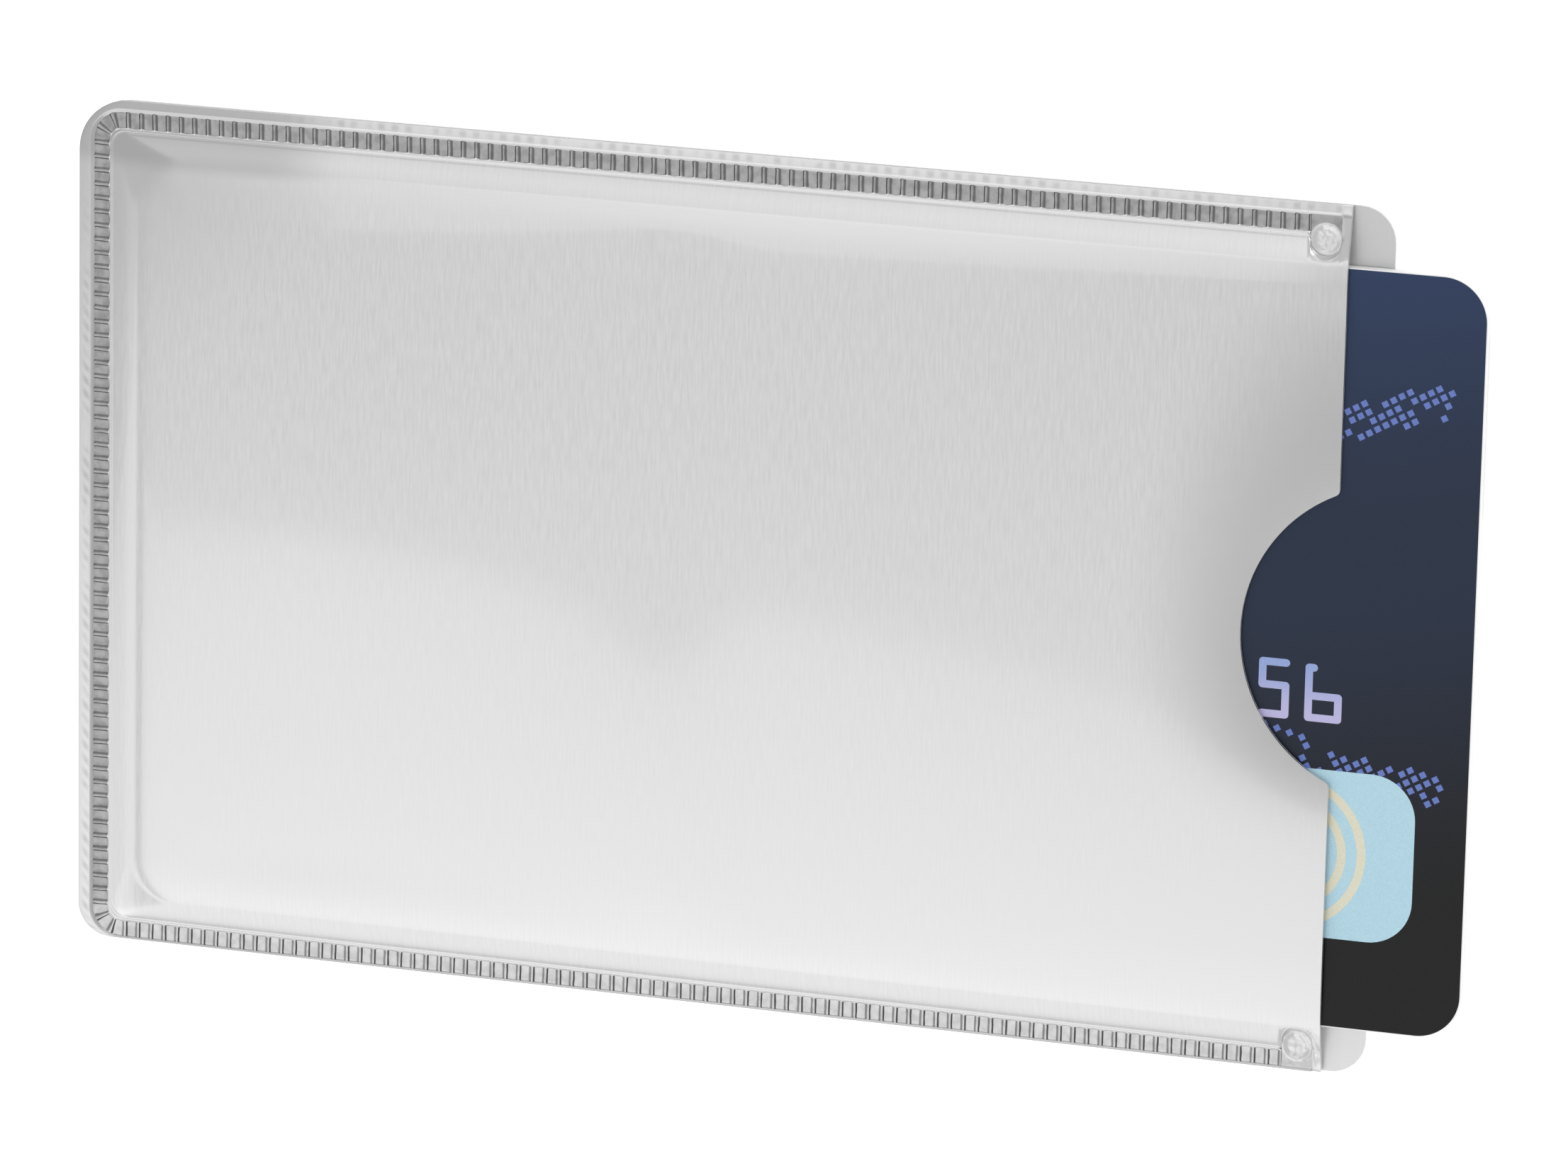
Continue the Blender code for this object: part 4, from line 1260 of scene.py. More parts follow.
def pad_cell():
    """One pad: unit length along X, the strip's width along Y, sunk by the pad's depth, with
    painted shade and painted highlight as a value at each point.
    """
    points = []
    tones = []
    width = STRIP_INNER + SEAM_WIDTH + STRIP_OUTER
    start = -SEAM_WIDTH / 2 - STRIP_INNER
    last = len(PAD_ROW_SHARES) - 1
    for along, column, tone in zip(PAD_COLUMN_SHARES, PAD_COLUMN_HEIGHTS, PAD_COLUMN_PAINTED_LIGHT):
        bulge = 1 - (2 * along - 1) ** 2
        for i, (across, row) in enumerate(zip(PAD_ROW_SHARES, PAD_ROW_HEIGHTS)):
            shift = PAD_ROUND * (1 - bulge) if i in (1, 2, 3) else 0.0
            height = max(column, row) if 0 < i < last else row
            points.append((along, start + across * width + shift, (height - 1) * PAD_DEPTH))
            tones.append(tone if 1 < i < last else PAD_RIM_HIGHLIGHT if i < 2 else 0.0)
    rows = len(PAD_ROW_SHARES)
    faces = []
    for i in range(len(PAD_COLUMN_SHARES) - 1):
        for j in range(rows - 1):
            a = i * rows + j
            faces.append((a, a + rows, a + rows + 1, a + 1))
    made = new_object("pad_cell", points, faces)
    set_values(made, "pad_painted_light", tones)
    return made


def weld_path():
    """The weld's centreline as a curve, from the upper dot round to the lower one."""
    half = SEAM_WIDTH / 2
    radius = SEAM_INNER_RADIUS + half
    left, low, high = SEAM_LOW.x + half, SEAM_LOW.y + half, SEAM_HIGH.y - half
    end = SEAM_HIGH.x
    points = [(end, high)]
    for turn, centre_y in ((1, high - radius), (2, low + radius)):
        start, stop = turn * QUARTER, (turn + 1) * QUARTER
        points += arc(left + radius, centre_y, radius, start, stop, WELD_CORNER_STEPS)
    points.append((end, low))
    curve = bpy.data.curves.new("weld_path", "CURVE")
    spline = curve.splines.new("POLY")
    spline.points.add(len(points) - 1)
    for target, (x, y) in zip(spline.points, points):
        target.co = (x, y, 0, 1)
    made = bpy.data.objects.new("weld_path", curve)
    bpy.context.scene.collection.objects.link(made)
    return made


# %% Tree: a strip of cells wrapped round a path

CELL_GAP = 0.001 * MM
HEIGHT_LUMPS = 1.4 / MM
OUTLINE_LUMPS = 3.0 / MM


def lump_noise(tree, place, seed, scale):
    """A soft noise over the strip, the same each time."""
    inputs = {"Vector": place, "W": seed, "Scale": scale, "Detail": 1.0}
    return add(tree, "ShaderNodeTexNoise", inputs, noise_dimensions="4D").outputs


def build_weld_tree():
    """A tree that repeats a cell along a line, wraps the line round a path and closes it."""
    tree, given, result = new_group(
        "knurled_strip",
        "GeometryNodeTree",
        [
            GEOMETRY_IN,
            ("Cell", "NodeSocketObject", None),
            ("Pitch", "NodeSocketFloat", PAD_PITCH),
            ("Top", "NodeSocketFloat", 0.0),
            ("Thickness", "NodeSocketFloat", 0.1 * MM),
            ("Unevenness", "NodeSocketFloat", 0.0),
            ("Raggedness", "NodeSocketFloat", 0.0),
            ("Seed", "NodeSocketFloat", 0.0),
            FINISH_IN,
        ],
        [GEOMETRY_OUT],
    )
    path = given.outputs["Geometry"]
    length = add(tree, "GeometryNodeCurveLength", {"Curve": path}).outputs[0]
    count = math_node(tree, "ROUND", math_node(tree, "DIVIDE", length, given.outputs["Pitch"]))
    pitch = math_node(tree, "DIVIDE", length, count)
    step = add(tree, "ShaderNodeCombineXYZ", {"X": pitch})
    line = add(tree, "GeometryNodeMeshLine", {"Count": count, "Offset": step.outputs[0]})
    cell = add(tree, "GeometryNodeObjectInfo", {"Object": given.outputs["Cell"]})
    scale = add(tree, "ShaderNodeCombineXYZ", {"X": pitch, "Y": 1.0, "Z": 1.0})
    copies = add(
        tree,
        "GeometryNodeInstanceOnPoints",
        {
            "Points": line.outputs["Mesh"],
            "Instance": cell.outputs["Geometry"],
            "Scale": scale.outputs[0],
        },
    )
    real = add(tree, "GeometryNodeRealizeInstances", {"Geometry": copies.outputs[0]})
    inputs = {"Geometry": real.outputs[0], "Distance": CELL_GAP}
    joined = add(tree, "GeometryNodeMergeByDistance", inputs)
    place = add(tree, "GeometryNodeInputPosition").outputs[0]
    split = add(tree, "ShaderNodeSeparateXYZ", {0: place})
    inputs = {"Curves": path, "Length": split.outputs["X"]}
    sample = add(tree, "GeometryNodeSampleCurve", inputs, mode="LENGTH").outputs
    outward = vector_node(tree, "CROSS_PRODUCT", sample["Tangent"], (0, 0, 1))
    unit = vector_node(tree, "NORMALIZE", outward)
    aside = vector_node(tree, "SCALE", unit, split.outputs["Y"])
    flat = vector_node(tree, "ADD", sample["Position"], aside)
    seed = given.outputs["Seed"]
    wobble = math_node(tree, "SUBTRACT", lump_noise(tree, place, seed, HEIGHT_LUMPS)[0], 0.5)
    wobble = math_node(tree, "MULTIPLY", wobble, given.outputs["Unevenness"])
    up = math_node(tree, "ADD", split.outputs["Z"], given.outputs["Top"])
    lift = add(tree, "ShaderNodeCombineXYZ", {"Z": math_node(tree, "ADD", up, wobble)})
    ragged = lump_noise(tree, place, seed, OUTLINE_LUMPS)["Color"]
    ragged = vector_node(tree, "SUBTRACT", ragged, (0.5, 0.5, 0.5))
    ragged = vector_node(tree, "SCALE", ragged, given.outputs["Raggedness"])
    ragged = vector_node(tree, "MULTIPLY", ragged, (1, 1, 0))
    final = vector_node(tree, "ADD", vector_node(tree, "ADD", flat, ragged), lift.outputs[0])
    inputs = {"Geometry": joined.outputs[0], "Position": final}
    wrapped = add(tree, "GeometryNodeSetPosition", inputs)
    painted = close_and_paint(tree, wrapped.outputs[0], given)
    tree.links.new(painted, result.inputs[0])
    return tree


WELD_TREE = build_weld_tree()

# %% Wrap the pads round the weld


def build_weld():
    """The whole weld; the room under it keeps the sunk pads inside the measured solid."""
    cell = pad_cell()
    path = weld_path()
    depth = SEAM_HIGH.z - SEAM_LOW.z - PAD_ROOM
    values = {
        "Cell": cell,
        "Pitch": PAD_PITCH,
        "Top": SEAM_HIGH.z - depth,
        "Thickness": depth,
        "Unevenness": 0.03 * MM,
        "Raggedness": 0.11 * MM,
        "Seed": 3.0,
        "Finish": MELTED,
    }
    piece = run_tree(path, WELD_TREE, "weld_pads", values)
    settle(piece, "sleeve", replaced=["weld_seam"])
    bpy.data.objects.remove(cell)
    bpy.data.objects.remove(path)


build_weld()

# %% [markdown]
# ## The melted dots
#
# At the mouth each seam ends in a short plain stretch with a melted dot, a shallow bowl
# with a swollen rim and small lumps in it, clear as glass. It is a patch like the sheet's
# middle, with heights from a formula: the plain stretch is level, the bowl has a floor, a
# steep wall and a rim, and the lumps come from a noise that is the same each time.

# %% Build the melted seam ends

END_LEVEL = 0.095 * MM
END_OUTER = 0.12 * MM
END_ROUND = 0.16 * MM
END_EDGE_SHARE = 0.3
BOWL_DEPTH = 0.06 * MM
BOWL_FLOOR_SHARE = 0.62
BOWL_RIM_SHARE = 0.92
BOWL_RIM = 0.035 * MM
BOWL_RIM_SPREAD = 0.09
CLEAR_FROM, CLEAR_FADE = 1.0, 0.12
LUMP_OUTSIDE = 0.15
END_SIDE_STEPS = 14
END_ARC_STEPS = 44
END_LUMP = 0.022 * MM
END_LUMP_SIZE = 0.33 * MM
END_GRID = 0.06 * MM


def end_height(x, y, dot_x, dot_y, outer_y):
    """Height of a seam end's surface over its base, and its tone: below 0 in the clear bowl."""
    away = math.hypot(x - dot_x, y - dot_y) / DOT_RADIUS
    wall = soft_step((away - BOWL_FLOOR_SHARE) / (BOWL_RIM_SHARE - BOWL_FLOOR_SHARE))
    rim = BOWL_RIM * math.exp(-(((away - BOWL_RIM_SHARE) / BOWL_RIM_SPREAD) ** 2))
    inside = 1 - soft_step((away - CLEAR_FROM) / CLEAR_FADE)
    lump = noise.noise(Vector((x, y, 0)) / END_LUMP_SIZE)
    lump = END_LUMP * lump * (LUMP_OUTSIDE + inside)
    from_edge = soft_step(abs(y - outer_y) / END_ROUND)
    level = END_LEVEL * (END_EDGE_SHARE + (1 - END_EDGE_SHARE) * from_edge)
    return level - BOWL_DEPTH * (1 - wall) + rim * wall + lump, -inside


def inside_end(x, y, dot_x, dot_y, seam_edge, inward):
    """Whether a point lies well inside the outline of a seam end."""
    margin = END_GRID / 2
    in_disc = math.hypot(x - dot_x, y - dot_y) < DOT_RADIUS - margin
    beside = abs(x - dot_x) < DOT_RADIUS - margin
    depth = (y - seam_edge) * inward
    return in_disc or (beside and margin < depth < (dot_y - seam_edge) * inward)


def build_seam_end(name, node, seam_edge, inward):
    """A plain seam end with its dot; inward is -1 at the upper side and 1 at the lower."""
    base_z = SEAM_LOW.z
    dot_x = MOUTH - DOT_FROM_MOUTH
    dot_y = seam_edge + inward * (SEAM_WIDTH + DOT_OFFSET)
    seam_edge -= inward * END_OUTER
    outline = [(dot_x + DOT_RADIUS, seam_edge)]
    outline += spread(outline[0], (dot_x + DOT_RADIUS, dot_y), END_SIDE_STEPS)
    outline += arc(dot_x, dot_y, DOT_RADIUS, 0, inward * math.pi, END_ARC_STEPS)
    near_left = (dot_x - DOT_RADIUS, dot_y)
    outline += spread(near_left, (dot_x - DOT_RADIUS, seam_edge), END_SIDE_STEPS)
    outline.append((dot_x - DOT_RADIUS, seam_edge))
    steps = int(4 * DOT_RADIUS / END_GRID)
    grid = staggered(dot_x - 2 * DOT_RADIUS, dot_y - 2 * DOT_RADIUS, steps, steps, END_GRID)
    inner = [(x, y) for x, y in grid if inside_end(x, y, dot_x, dot_y, seam_edge, inward)]
    flat, faces = fill([outline], inner)
    levels = [end_height(x, y, dot_x, dot_y, seam_edge)[0] for x, y in flat]
    made = plate_between(name, flat, faces, base_z, levels)
    places = [(v.co.x, v.co.y) for v in made.data.vertices]
    tones = [end_height(x, y, dot_x, dot_y, seam_edge)[1] for x, y in places]
    set_values(made, "bowl_tone", tones)
    settle(made, "sleeve", MELTED_CLEAR, [node])


build_seam_end("melted_end_upper", "seam_end_upper", SEAM_HIGH.y, -1)
build_seam_end("melted_end_lower", "seam_end_lower", SEAM_LOW.y, 1)

# %% [markdown]
# ## What is printed on the card
#
# The print shows a row of plain figures with round corners, a drift of small squares and
# a pale blue panel. All are thin films on the card's face, a hundredth of a millimetre
# proud, so they slide under the sleeve with room to spare.

# %% Thin printed shapes

INK_RAISE = 0.010 * MM
PRINT_Z = CARD_TOP
DISC_STEPS = 16


def film_plate(name, flat, faces, bottom, thickness):
    """A closed plate of even thickness from a filled outline."""
    return plate_between(name, flat, faces, bottom, [thickness] * len(flat))


def stroke_outlines(line, width):
    """Rectangles along a line's stretches and discs at its points."""
    outlines = []
    half = width / 2
    for (ax, ay), (bx, by) in zip(line, line[1:]):
        length = math.hypot(bx - ax, by - ay)
        side_x, side_y = (by - ay) / length * half, (ax - bx) / length * half
        outlines.append(
            [
                (ax + side_x, ay + side_y),
                (bx + side_x, by + side_y),
                (bx - side_x, by - side_y),
                (ax - side_x, ay - side_y),
            ]
        )
    for x, y in line:
        outlines.append(arc(x, y, half, 0, 2 * math.pi, DISC_STEPS)[:-1])
    return outlines


# %% Figures
# Each figure is one or two lines in a cell of width 1 and height 1.

FIGURE_LINES = {
    "0": [[(0, 0), (1, 0), (1, 1), (0, 1), (0, 0)]],
    "1": [[(0.2, 0.82), (0.5, 1), (0.5, 0)], [(0.1, 0), (0.9, 0)]],
    "2": [[(0, 1), (1, 1), (1, 0.55), (0, 0.55), (0, 0), (1, 0)]],
    "3": [[(0, 1), (1, 1), (1, 0), (0, 0)], [(0.25, 0.55), (1, 0.55)]],
    "4": [[(0, 1), (0, 0.42), (1, 0.42)], [(0.72, 0.72), (0.72, 0)]],
    "5": [[(1, 1), (0, 1), (0, 0.56), (1, 0.56), (1, 0), (0, 0)]],
    "6": [[(0.16, 0.96), (0, 0.96), (0, 0), (1, 0), (1, 0.42), (0, 0.42)]],
    "7": [[(0, 1), (1, 1), (0.45, 0)]],
    "8": [[(0, 0), (1, 0), (1, 1), (0, 1), (0, 0)], [(0, 0.53), (1, 0.53)]],
    "9": [[(1, 0.55), (0, 0.55), (0, 1), (1, 1), (1, 0)]],
}
FIGURE_ROW = "1234 5678 9012 3456"
FIGURE_PITCH = 3.30 * MM
FIGURE_HEIGHT = 3.70 * MM
FIGURE_WIDTH = 1.66 * MM
SIX_WIDTH = 2.10 * MM
FIGURE_STROKE = 0.54 * MM
FIGURE_FROM_RIGHT = 11.55 * MM
FIGURE_LOW = -5.25 * MM
SHADOW_SHIFT = 0.07 * MM
SHADOW_RAISE = 0.5 * INK_RAISE
FIGURE_TOP, FIGURE_FOOT = (0.27, 0.37, 0.70, 1.0), (0.50, 0.47, 0.76, 1.0)
FIGURE_SPECK = (0.70, 0.70, 0.85, 1.0)
FIGURE_SPECK_SHARE = 0.08
FIGURE_ROUGHNESS = (0.35, 0.45)
SHADOW_COLOURS = ((0.004, 0.005, 0.010, 1.0), (0.007, 0.008, 0.016, 1.0))


def figure_row(name, shift, thickness, finish):
    """The whole row of figures as one thin piece, moved right and down by the shift."""
    outlines = []
    last_x = CARD_HIGH.x - FIGURE_FROM_RIGHT
    for i, figure in enumerate(FIGURE_ROW):
        if figure == " ":
            continue
        start = last_x - FIGURE_PITCH * (len(FIGURE_ROW) - 1 - i) + shift
        width = SIX_WIDTH if figure == "6" else FIGURE_WIDTH
        for line in FIGURE_LINES[figure]:
            placed = [
                (start + x * width, FIGURE_LOW - shift + y * FIGURE_HEIGHT) for x, y in line
            ]
            outlines += stroke_outlines(placed, FIGURE_STROKE)
    flat, faces = fill(outlines)
    made = film_plate(name, flat, faces, PRINT_Z, thickness)
    settle(made, "card", finish)


def make_figure_ink():
    """Blue at the top of a figure to lavender at its foot."""
    made, tree, shader = new_finish("figure_ink", Coat_Weight=0.3)
    grain = group_node(tree, GRAIN).outputs["Grain"]
    share = ramp(tree, object_axes(tree)["Y"], FIGURE_LOW, FIGURE_LOW + FIGURE_HEIGHT)
    colour = mix(tree, share, FIGURE_FOOT, FIGURE_TOP)
    speck = ramp(tree, grain, *NOISE_SPAN, 0.0, FIGURE_SPECK_SHARE)
    tree.links.new(mix(tree, speck, colour, FIGURE_SPECK), shader.inputs["Base Color"])
    rough = ramp(tree, grain, *NOISE_SPAN, *FIGURE_ROUGHNESS)
    tree.links.new(rough, shader.inputs["Roughness"])
    return made


FIGURE_INK = make_figure_ink()
SHADOW_INK = make_grained("shadow_ink", *SHADOW_COLOURS, roughness=0.4)
figure_row("figure_shadows", shift=SHADOW_SHIFT, thickness=SHADOW_RAISE, finish=SHADOW_INK)
figure_row("figures", shift=0.0, thickness=INK_RAISE, finish=FIGURE_INK)

# %% [markdown]
# The squares lie on a lattice turned by thirty degrees. Geometry Nodes lays out the
# lattice, keeps the points near two slow waves that cross the card, drops some of them by
# chance with a fixed seed, and puts one thin square on each point that is left.

# %% Tree: squares along two waves

SQUARE_PITCH = 0.65 * MM
SQUARE_SIDE = 0.43 * MM
SQUARE_RAISE = 0.8 * INK_RAISE
LATTICE_TURN = math.radians(30)
LATTICE_SIZE = 110 * MM
SQUARE_MARGIN = 2.0 * MM
UPPER_WAVE = {"height": 15.0 * MM, "swing": 3.0 * MM, "length": 46 * MM, "phase": 0.4}
LOWER_WAVE = {"height": -7.4 * MM, "swing": 2.2 * MM, "length": 38 * MM, "phase": 2.6}


def wave_gap(tree, split, height, swing, length, phase):
    """Distance of a point above or below one wave."""
    turn = math_node(tree, "MULTIPLY", split.outputs["X"], 2 * math.pi / length)
    turn = math_node(tree, "ADD", turn, phase)
    wave = math_node(tree, "MULTIPLY", math_node(tree, "SINE", turn), swing)
    level = math_node(tree, "SUBTRACT", split.outputs["Y"], wave)
    return math_node(tree, "ABSOLUTE", math_node(tree, "SUBTRACT", level, height))


def build_squares_tree():
    """A tree that lays thin squares on a turned lattice, near two waves."""
    tree, given, result = new_group(
        "drifting_squares",
        "GeometryNodeTree",
        [
            GEOMETRY_IN,
            ("Pitch", "NodeSocketFloat", SQUARE_PITCH),
            ("Side", "NodeSocketFloat", SQUARE_SIDE),
            ("Thickness", "NodeSocketFloat", SQUARE_RAISE),
            ("Turn", "NodeSocketFloat", LATTICE_TURN),
            ("Band", "NodeSocketFloat", 1.2 * MM),
            ("Kept share", "NodeSocketFloat", 0.7),
            ("Seed", "NodeSocketInt", 5),
            FINISH_IN,
        ],
        [GEOMETRY_OUT],
    )
    field = LATTICE_SIZE
    count = math_node(tree, "ROUND", math_node(tree, "DIVIDE", field, given.outputs["Pitch"]))
    inputs = {"Size X": field, "Size Y": field, "Vertices X": count, "Vertices Y": count}
    grid = add(tree, "GeometryNodeMeshGrid", inputs)
    turn = add(tree, "ShaderNodeCombineXYZ", {"Z": given.outputs["Turn"]})
    middle = (CARD_LOW + CARD_HIGH) / 2
    turned = add(
        tree,
        "GeometryNodeTransform",
        {
            "Geometry": grid.outputs["Mesh"],
            "Rotation": turn.outputs[0],
            "Translation": (middle.x, middle.y, 0),
        },
    )
    place = add(tree, "GeometryNodeInputPosition").outputs[0]
    split = add(tree, "ShaderNodeSeparateXYZ", {0: place})
    upper = wave_gap(tree, split, **UPPER_WAVE)
    lower = wave_gap(tree, split, **LOWER_WAVE)
    near = math_node(tree, "MINIMUM", upper, lower)
    too_far = math_node(tree, "GREATER_THAN", near, given.outputs["Band"])
    inputs = {"Seed": given.outputs["Seed"]}
    chance = add(tree, "FunctionNodeRandomValue", inputs, data_type="FLOAT")
    unlucky = math_node(tree, "GREATER_THAN", chance.outputs[1], given.outputs["Kept share"])
    off_card = math_node(tree, "LESS_THAN", split.outputs["X"], CARD_LOW.x + SQUARE_MARGIN)
    past_end = math_node(tree, "GREATER_THAN", split.outputs["X"], CARD_HIGH.x - SQUARE_MARGIN)
    dropped = math_node(tree, "ADD", too_far, unlucky)
    dropped = math_node(tree, "ADD", dropped, math_node(tree, "ADD", off_card, past_end))
    inputs = {"Geometry": turned.outputs[0], "Selection": dropped}
    kept = add(tree, "GeometryNodeDeleteGeometry", inputs, domain="POINT")
    side, thickness = given.outputs["Side"], given.outputs["Thickness"]
    size = add(tree, "ShaderNodeCombineXYZ", {"X": side, "Y": side, "Z": thickness})
    square = add(tree, "GeometryNodeMeshCube", {"Size": size.outputs[0]})
    dots = add(tree, "GeometryNodeMeshToPoints", {"Mesh": kept.outputs[0]})
    copies = add(
        tree,
        "GeometryNodeInstanceOnPoints",
        {
            "Points": dots.outputs[0],
            "Instance": square.outputs["Mesh"],
            "Rotation": turn.outputs[0],
        },
    )
    half = math_node(tree, "MULTIPLY", thickness, 0.5)
    level = math_node(tree, "ADD", half, PRINT_Z)
    lift = add(tree, "ShaderNodeCombineXYZ", {"Z": level})
    real = add(tree, "GeometryNodeRealizeInstances", {"Geometry": copies.outputs[0]})
    inputs = {"Geometry": real.outputs[0], "Offset": lift.outputs[0]}
    raised = add(tree, "GeometryNodeSetPosition", inputs)
    inputs = {"Geometry": raised.outputs[0], "Material": given.outputs["Finish"]}
    painted = add(tree, "GeometryNodeSetMaterial", inputs)
    tree.links.new(painted.outputs[0], result.inputs[0])
    return tree


# %% Build the squares

SQUARE_COLOURS = ((0.11, 0.17, 0.50, 1.0), (0.14, 0.21, 0.58, 1.0))
SQUARE_INK = make_grained("square_ink", *SQUARE_COLOURS, roughness=0.4)


def build_squares():
    """The squares as one piece, on a host that is only a point."""
    host = new_object("squares_host", [(0, 0, 0)], [])
    values = {
        "Pitch": SQUARE_PITCH,
        "Side": SQUARE_SIDE,
        "Thickness": SQUARE_RAISE,
        "Turn": LATTICE_TURN,
        "Band": 1.3 * MM,
        "Kept share": 0.72,
        "Seed": 5,
        "Finish": SQUARE_INK,
    }
    piece = run_tree(host, build_squares_tree(), "print_squares", values)
    settle(piece, "card")
    bpy.data.objects.remove(host)


build_squares()

# %% [markdown]
# The panel is a round-cornered field with a few concentric rings, a motif as plain as a
# ripple on water.

# %% Panel with rings

PANEL_LENGTH = 18.0 * MM
PANEL_WIDTH = 12.05 * MM
PANEL_RADIUS = 3.15 * MM
PANEL_FROM_RIGHT = 3.70 * MM
PANEL_Y = -14.90 * MM
RIPPLE_RADII = (1.1 * MM, 2.5 * MM, 3.9 * MM, 5.3 * MM)
RIPPLE_WIDTH = 0.62 * MM
RIPPLE_STEPS = 56
RIPPLE_RAISE = 0.5 * INK_RAISE
PANEL_CORNER_STEPS = 12
PANEL_COLOURS = ((0.44, 0.68, 0.80, 1.0), (0.50, 0.74, 0.85, 1.0))
RIPPLE_COLOURS = ((0.74, 0.72, 0.55, 1.0), (0.80, 0.78, 0.62, 1.0))


def rounded_rectangle(x, y, length, width, radius, steps):
    """Points round a rectangle with round corners, about its middle."""
    points = []
    corners = ((1, 1), (-1, 1), (-1, -1), (1, -1))
    for turn, (side_x, side_y) in enumerate(corners):
        centre_x = x + side_x * (length / 2 - radius)
        centre_y = y + side_y * (width / 2 - radius)
        points += arc(centre_x, centre_y, radius, turn * QUARTER, (turn + 1) * QUARTER, steps)
    return points


def ring_faces(x, y, radius, width, steps):
    """A flat ring as quads."""
    outer = arc(x, y, radius + width / 2, 0, 2 * math.pi, steps)[:-1]
    inner = arc(x, y, radius - width / 2, 0, 2 * math.pi, steps)[:-1]
    points = outer + inner
    faces = [(i, (i + 1) % steps, steps + (i + 1) % steps, steps + i) for i in range(steps)]
    return points, faces


PANEL_INK = make_grained("panel_ink", *PANEL_COLOURS, roughness=0.38)
RIPPLE_INK = make_grained("ripple_ink", *RIPPLE_COLOURS, roughness=0.42)


def build_panel():
    """The pale field and, on it, the rings."""
    centre_x = CARD_HIGH.x - PANEL_FROM_RIGHT - PANEL_LENGTH / 2
    outline = rounded_rectangle(
        centre_x, PANEL_Y, PANEL_LENGTH, PANEL_WIDTH, PANEL_RADIUS, PANEL_CORNER_STEPS
    )
    flat, faces = fill([outline])
    panel = film_plate("print_panel", flat, faces, PRINT_Z, INK_RAISE)
    settle(panel, "card", PANEL_INK)
    points = []
    faces = []
    for radius in RIPPLE_RADII:
        ring_points, ring = ring_faces(centre_x, PANEL_Y, radius, RIPPLE_WIDTH, RIPPLE_STEPS)
        faces += [tuple(i + len(points) for i in face) for face in ring]
        points += ring_points
    ripples = film_plate("panel_ripples", points, faces, PRINT_Z + INK_RAISE, RIPPLE_RAISE)
    settle(ripples, "card", RIPPLE_INK)


build_panel()

# %% [markdown]
# ## Finishes of the pieces that keep their solids
#
# The back sheet is flat and the card's layers are flat plates, so their solids are already
# right. They only get their finishes.

# %% Dress the remaining nodes

NODE_FINISHES = {
    "back_cover_film": BACK_FILM,
    "back_foil": FOIL,
    "back_lining_film": LINING,
    "card_back_overlay": CARD_BACK,
    "card_back_print": CARD_INK,
    "card_core": CARD_WHITE,
    "card_antenna": COPPER,
    "card_front_print": CARD_FRONT,
    "card_front_overlay": CARD_FRONT,
    "chip_contact_plate": GOLD,
    "chip_encapsulation": RESIN,
    "magnetic_stripe": STRIPE,
    "signature_panel": WRITING,
}
for node_name, finish in NODE_FINISHES.items():
    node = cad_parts[node_name]
    node.data.materials.clear()
    node.data.materials.append(finish)
print("dressed nodes:", len(NODE_FINISHES))

# %% [markdown]
# ## Floor and light
#
# The photograph has a pure white ground. The floor is a large matt plane that glows a
# little, as a light table does, so that only the faintest contact shade is left. The
# light is a pale studio: a sky with soft glows in front and behind, which the slopes beside
# the weld mirror, and five soft panels. The one in front lights the lower half of the
# sleeve, and its straight edge is the line that wanders across the glossy film. The far,
# left and side ones fill in where the sheet turns down beside the weld.

# %% Floor

FLOOR_SIZE = 6.0
FLOOR_DROP = 0.02 * MM
FLOOR_GLOW = 0.62
FLOOR_GRAIN = 400.0
FLOOR_COLOURS = (grey(0.86), grey(0.90))


def make_floor():
    """A large pale plane a hair under the sleeve."""
    half = FLOOR_SIZE / 2
    corners = [(-half, -half), (half, -half), (half, half), (-half, half)]
    floor = new_object("floor", [(x, y, -FLOOR_DROP) for x, y in corners], [(0, 1, 2, 3)])
    made, tree, shader = new_finish("pale_floor", Roughness=0.9, Emission_Strength=FLOOR_GLOW)
    shader.inputs["Emission Color"].default_value = grey(1.0)
    grain = add(tree, "ShaderNodeTexNoise", {"Scale": FLOOR_GRAIN})
    colour = mix(tree, grain.outputs[0], *FLOOR_COLOURS)
    tree.links.new(colour, shader.inputs["Base Color"])
    floor.data.materials.append(made)
    floor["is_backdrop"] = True


make_floor()

# %% Sky and soft panels

SKY_LEVEL = 0.756
SKY_SEEN = 1.1
PANEL_HEIGHT = 1.0
PANELS = {
    "overhead_panel": {"x": -0.289, "y": 0.0625, "size": (0.188, 0.485), "brightness": 0.565},
    "front_panel": {"x": -0.345, "y": -0.6155, "size": (0.49, 0.669), "brightness": 0.645},
    "far_panel": {"x": -0.75, "y": -1.775, "size": (1.3, 1.65), "brightness": 0.42},
    "left_panel": {"x": -1.10, "y": -0.62, "size": (1.02, 0.64), "brightness": 0.12},
}
SIDE_PLACE, SIDE_AIM = (-0.33, -0.264, 0.18), (0.0, -0.264, 0.18)
SIDE_SIZE, SIDE_BRIGHTNESS = (0.372, 0.359), 0.36
GLOWS = (
    {"towards": (-0.18, -0.95, 0.28), "inner": 5, "outer": 40, "brightness": 0.10},
    {"towards": (-0.12, 0.50, 0.86), "inner": 2, "outer": 24, "brightness": 0.47},
    {"towards": (0.0, 0.98, 0.17), "inner": 5, "outer": 40, "brightness": 0.224},
    {"towards": (0.66, 0.72, 0.16), "inner": 4, "outer": 24, "brightness": 1.3},
)


def sky_glow(tree, direction, towards, inner, outer, brightness):
    """Extra light round one direction, fading between two angles from it."""
    unit = Vector(towards).normalized()
    turn = vector_node(tree, "DOT_PRODUCT", direction, unit, output="Value")
    low, high = math.cos(math.radians(outer)), math.cos(math.radians(inner))
    return ramp(tree, turn, low, high, 0.0, brightness)


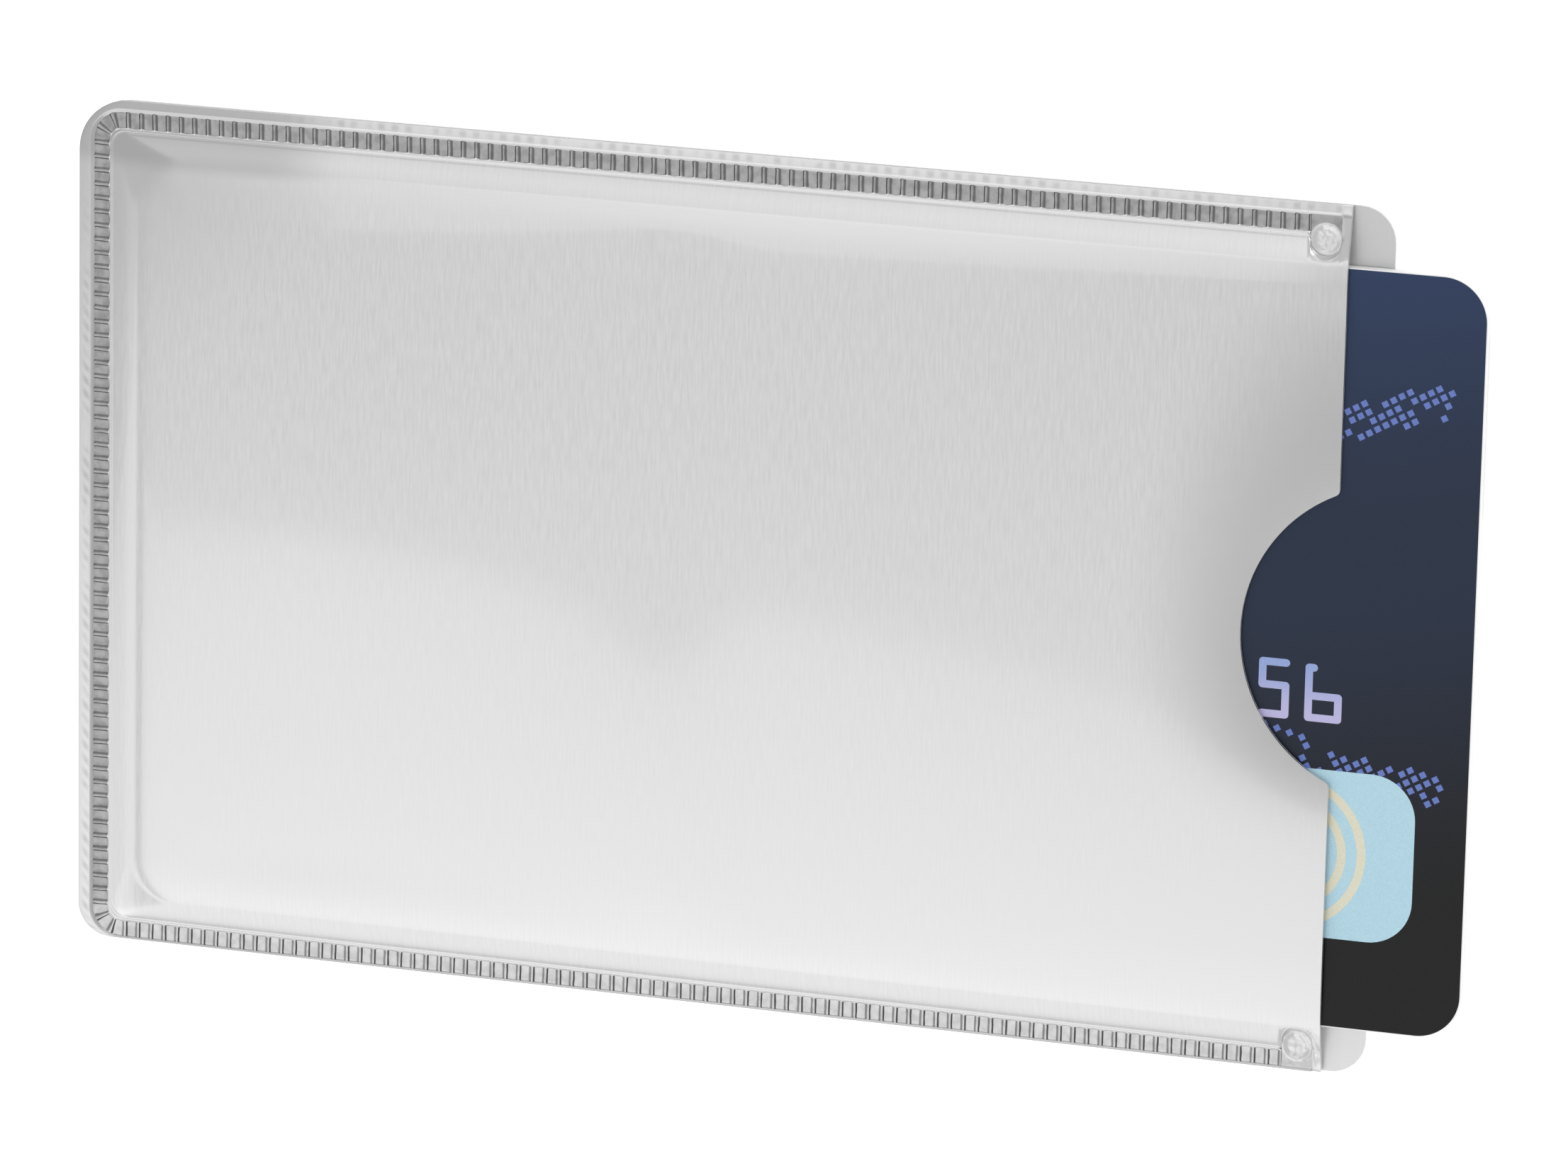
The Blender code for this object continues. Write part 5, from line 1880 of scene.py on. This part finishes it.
def make_sky():
    """A pale sky with soft glows for the light, plain white for the eye."""
    world = bpy.data.worlds.new("studio")
    bpy.context.scene.world = world
    world.use_nodes = True
    tree = world.node_tree
    back = tree.nodes["Background"]
    direction = add(tree, "ShaderNodeTexCoord").outputs["Generated"]
    level = SKY_LEVEL
    for glow in GLOWS:
        level = math_node(tree, "ADD", sky_glow(tree, direction, **glow), level)
    seen = add(tree, "ShaderNodeLightPath").outputs["Is Camera Ray"]
    inputs = {"Factor": seen, "A": level, "B": SKY_SEEN}
    strength = add(tree, "ShaderNodeMix", inputs, data_type="FLOAT")
    back.inputs["Color"].default_value = grey(1.0)
    tree.links.new(strength.outputs["Result"], back.inputs["Strength"])


def soft_panel(name, place, aim, size, brightness):
    """A lamp that looks as bright as it says, whatever its size."""
    lamp = bpy.data.lights.new(name, "AREA")
    lamp.shape = "RECTANGLE"
    lamp.size, lamp.size_y = size
    lamp.energy = brightness * math.pi * size[0] * size[1]
    made = bpy.data.objects.new(name, lamp)
    turn = (Vector(aim) - Vector(place)).to_track_quat("-Z", "Y")
    made.matrix_world = Matrix.Translation(place) @ turn.to_matrix().to_4x4()
    made.visible_camera = False
    bpy.context.scene.collection.objects.link(made)


make_sky()
for name, panel in PANELS.items():
    place = (panel["x"], panel["y"], PANEL_HEIGHT)
    below = (panel["x"], panel["y"], 0.0)
    soft_panel(name, place, below, panel["size"], panel["brightness"])
soft_panel("side_panel", SIDE_PLACE, SIDE_AIM, SIDE_SIZE, SIDE_BRIGHTNESS)
print("soft panels:", len(bpy.data.lights), "glows:", len(GLOWS))

view = bpy.context.scene.view_settings
view.view_transform = "Standard"
view.look = "None"

# %% [markdown]
# ## Size
#
# The visual model has to stay the size of the measured one, so both boxes are compared and
# the difference printed.

# %% Compare both boxes

visual_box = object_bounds()
for axis, label in enumerate("xyz"):
    grown = (visual_box[1][axis] - visual_box[0][axis]) / (cad_box[1][axis] - cad_box[0][axis]) - 1
    print(f"side {label} differs by {grown * 100:.2f} percent")
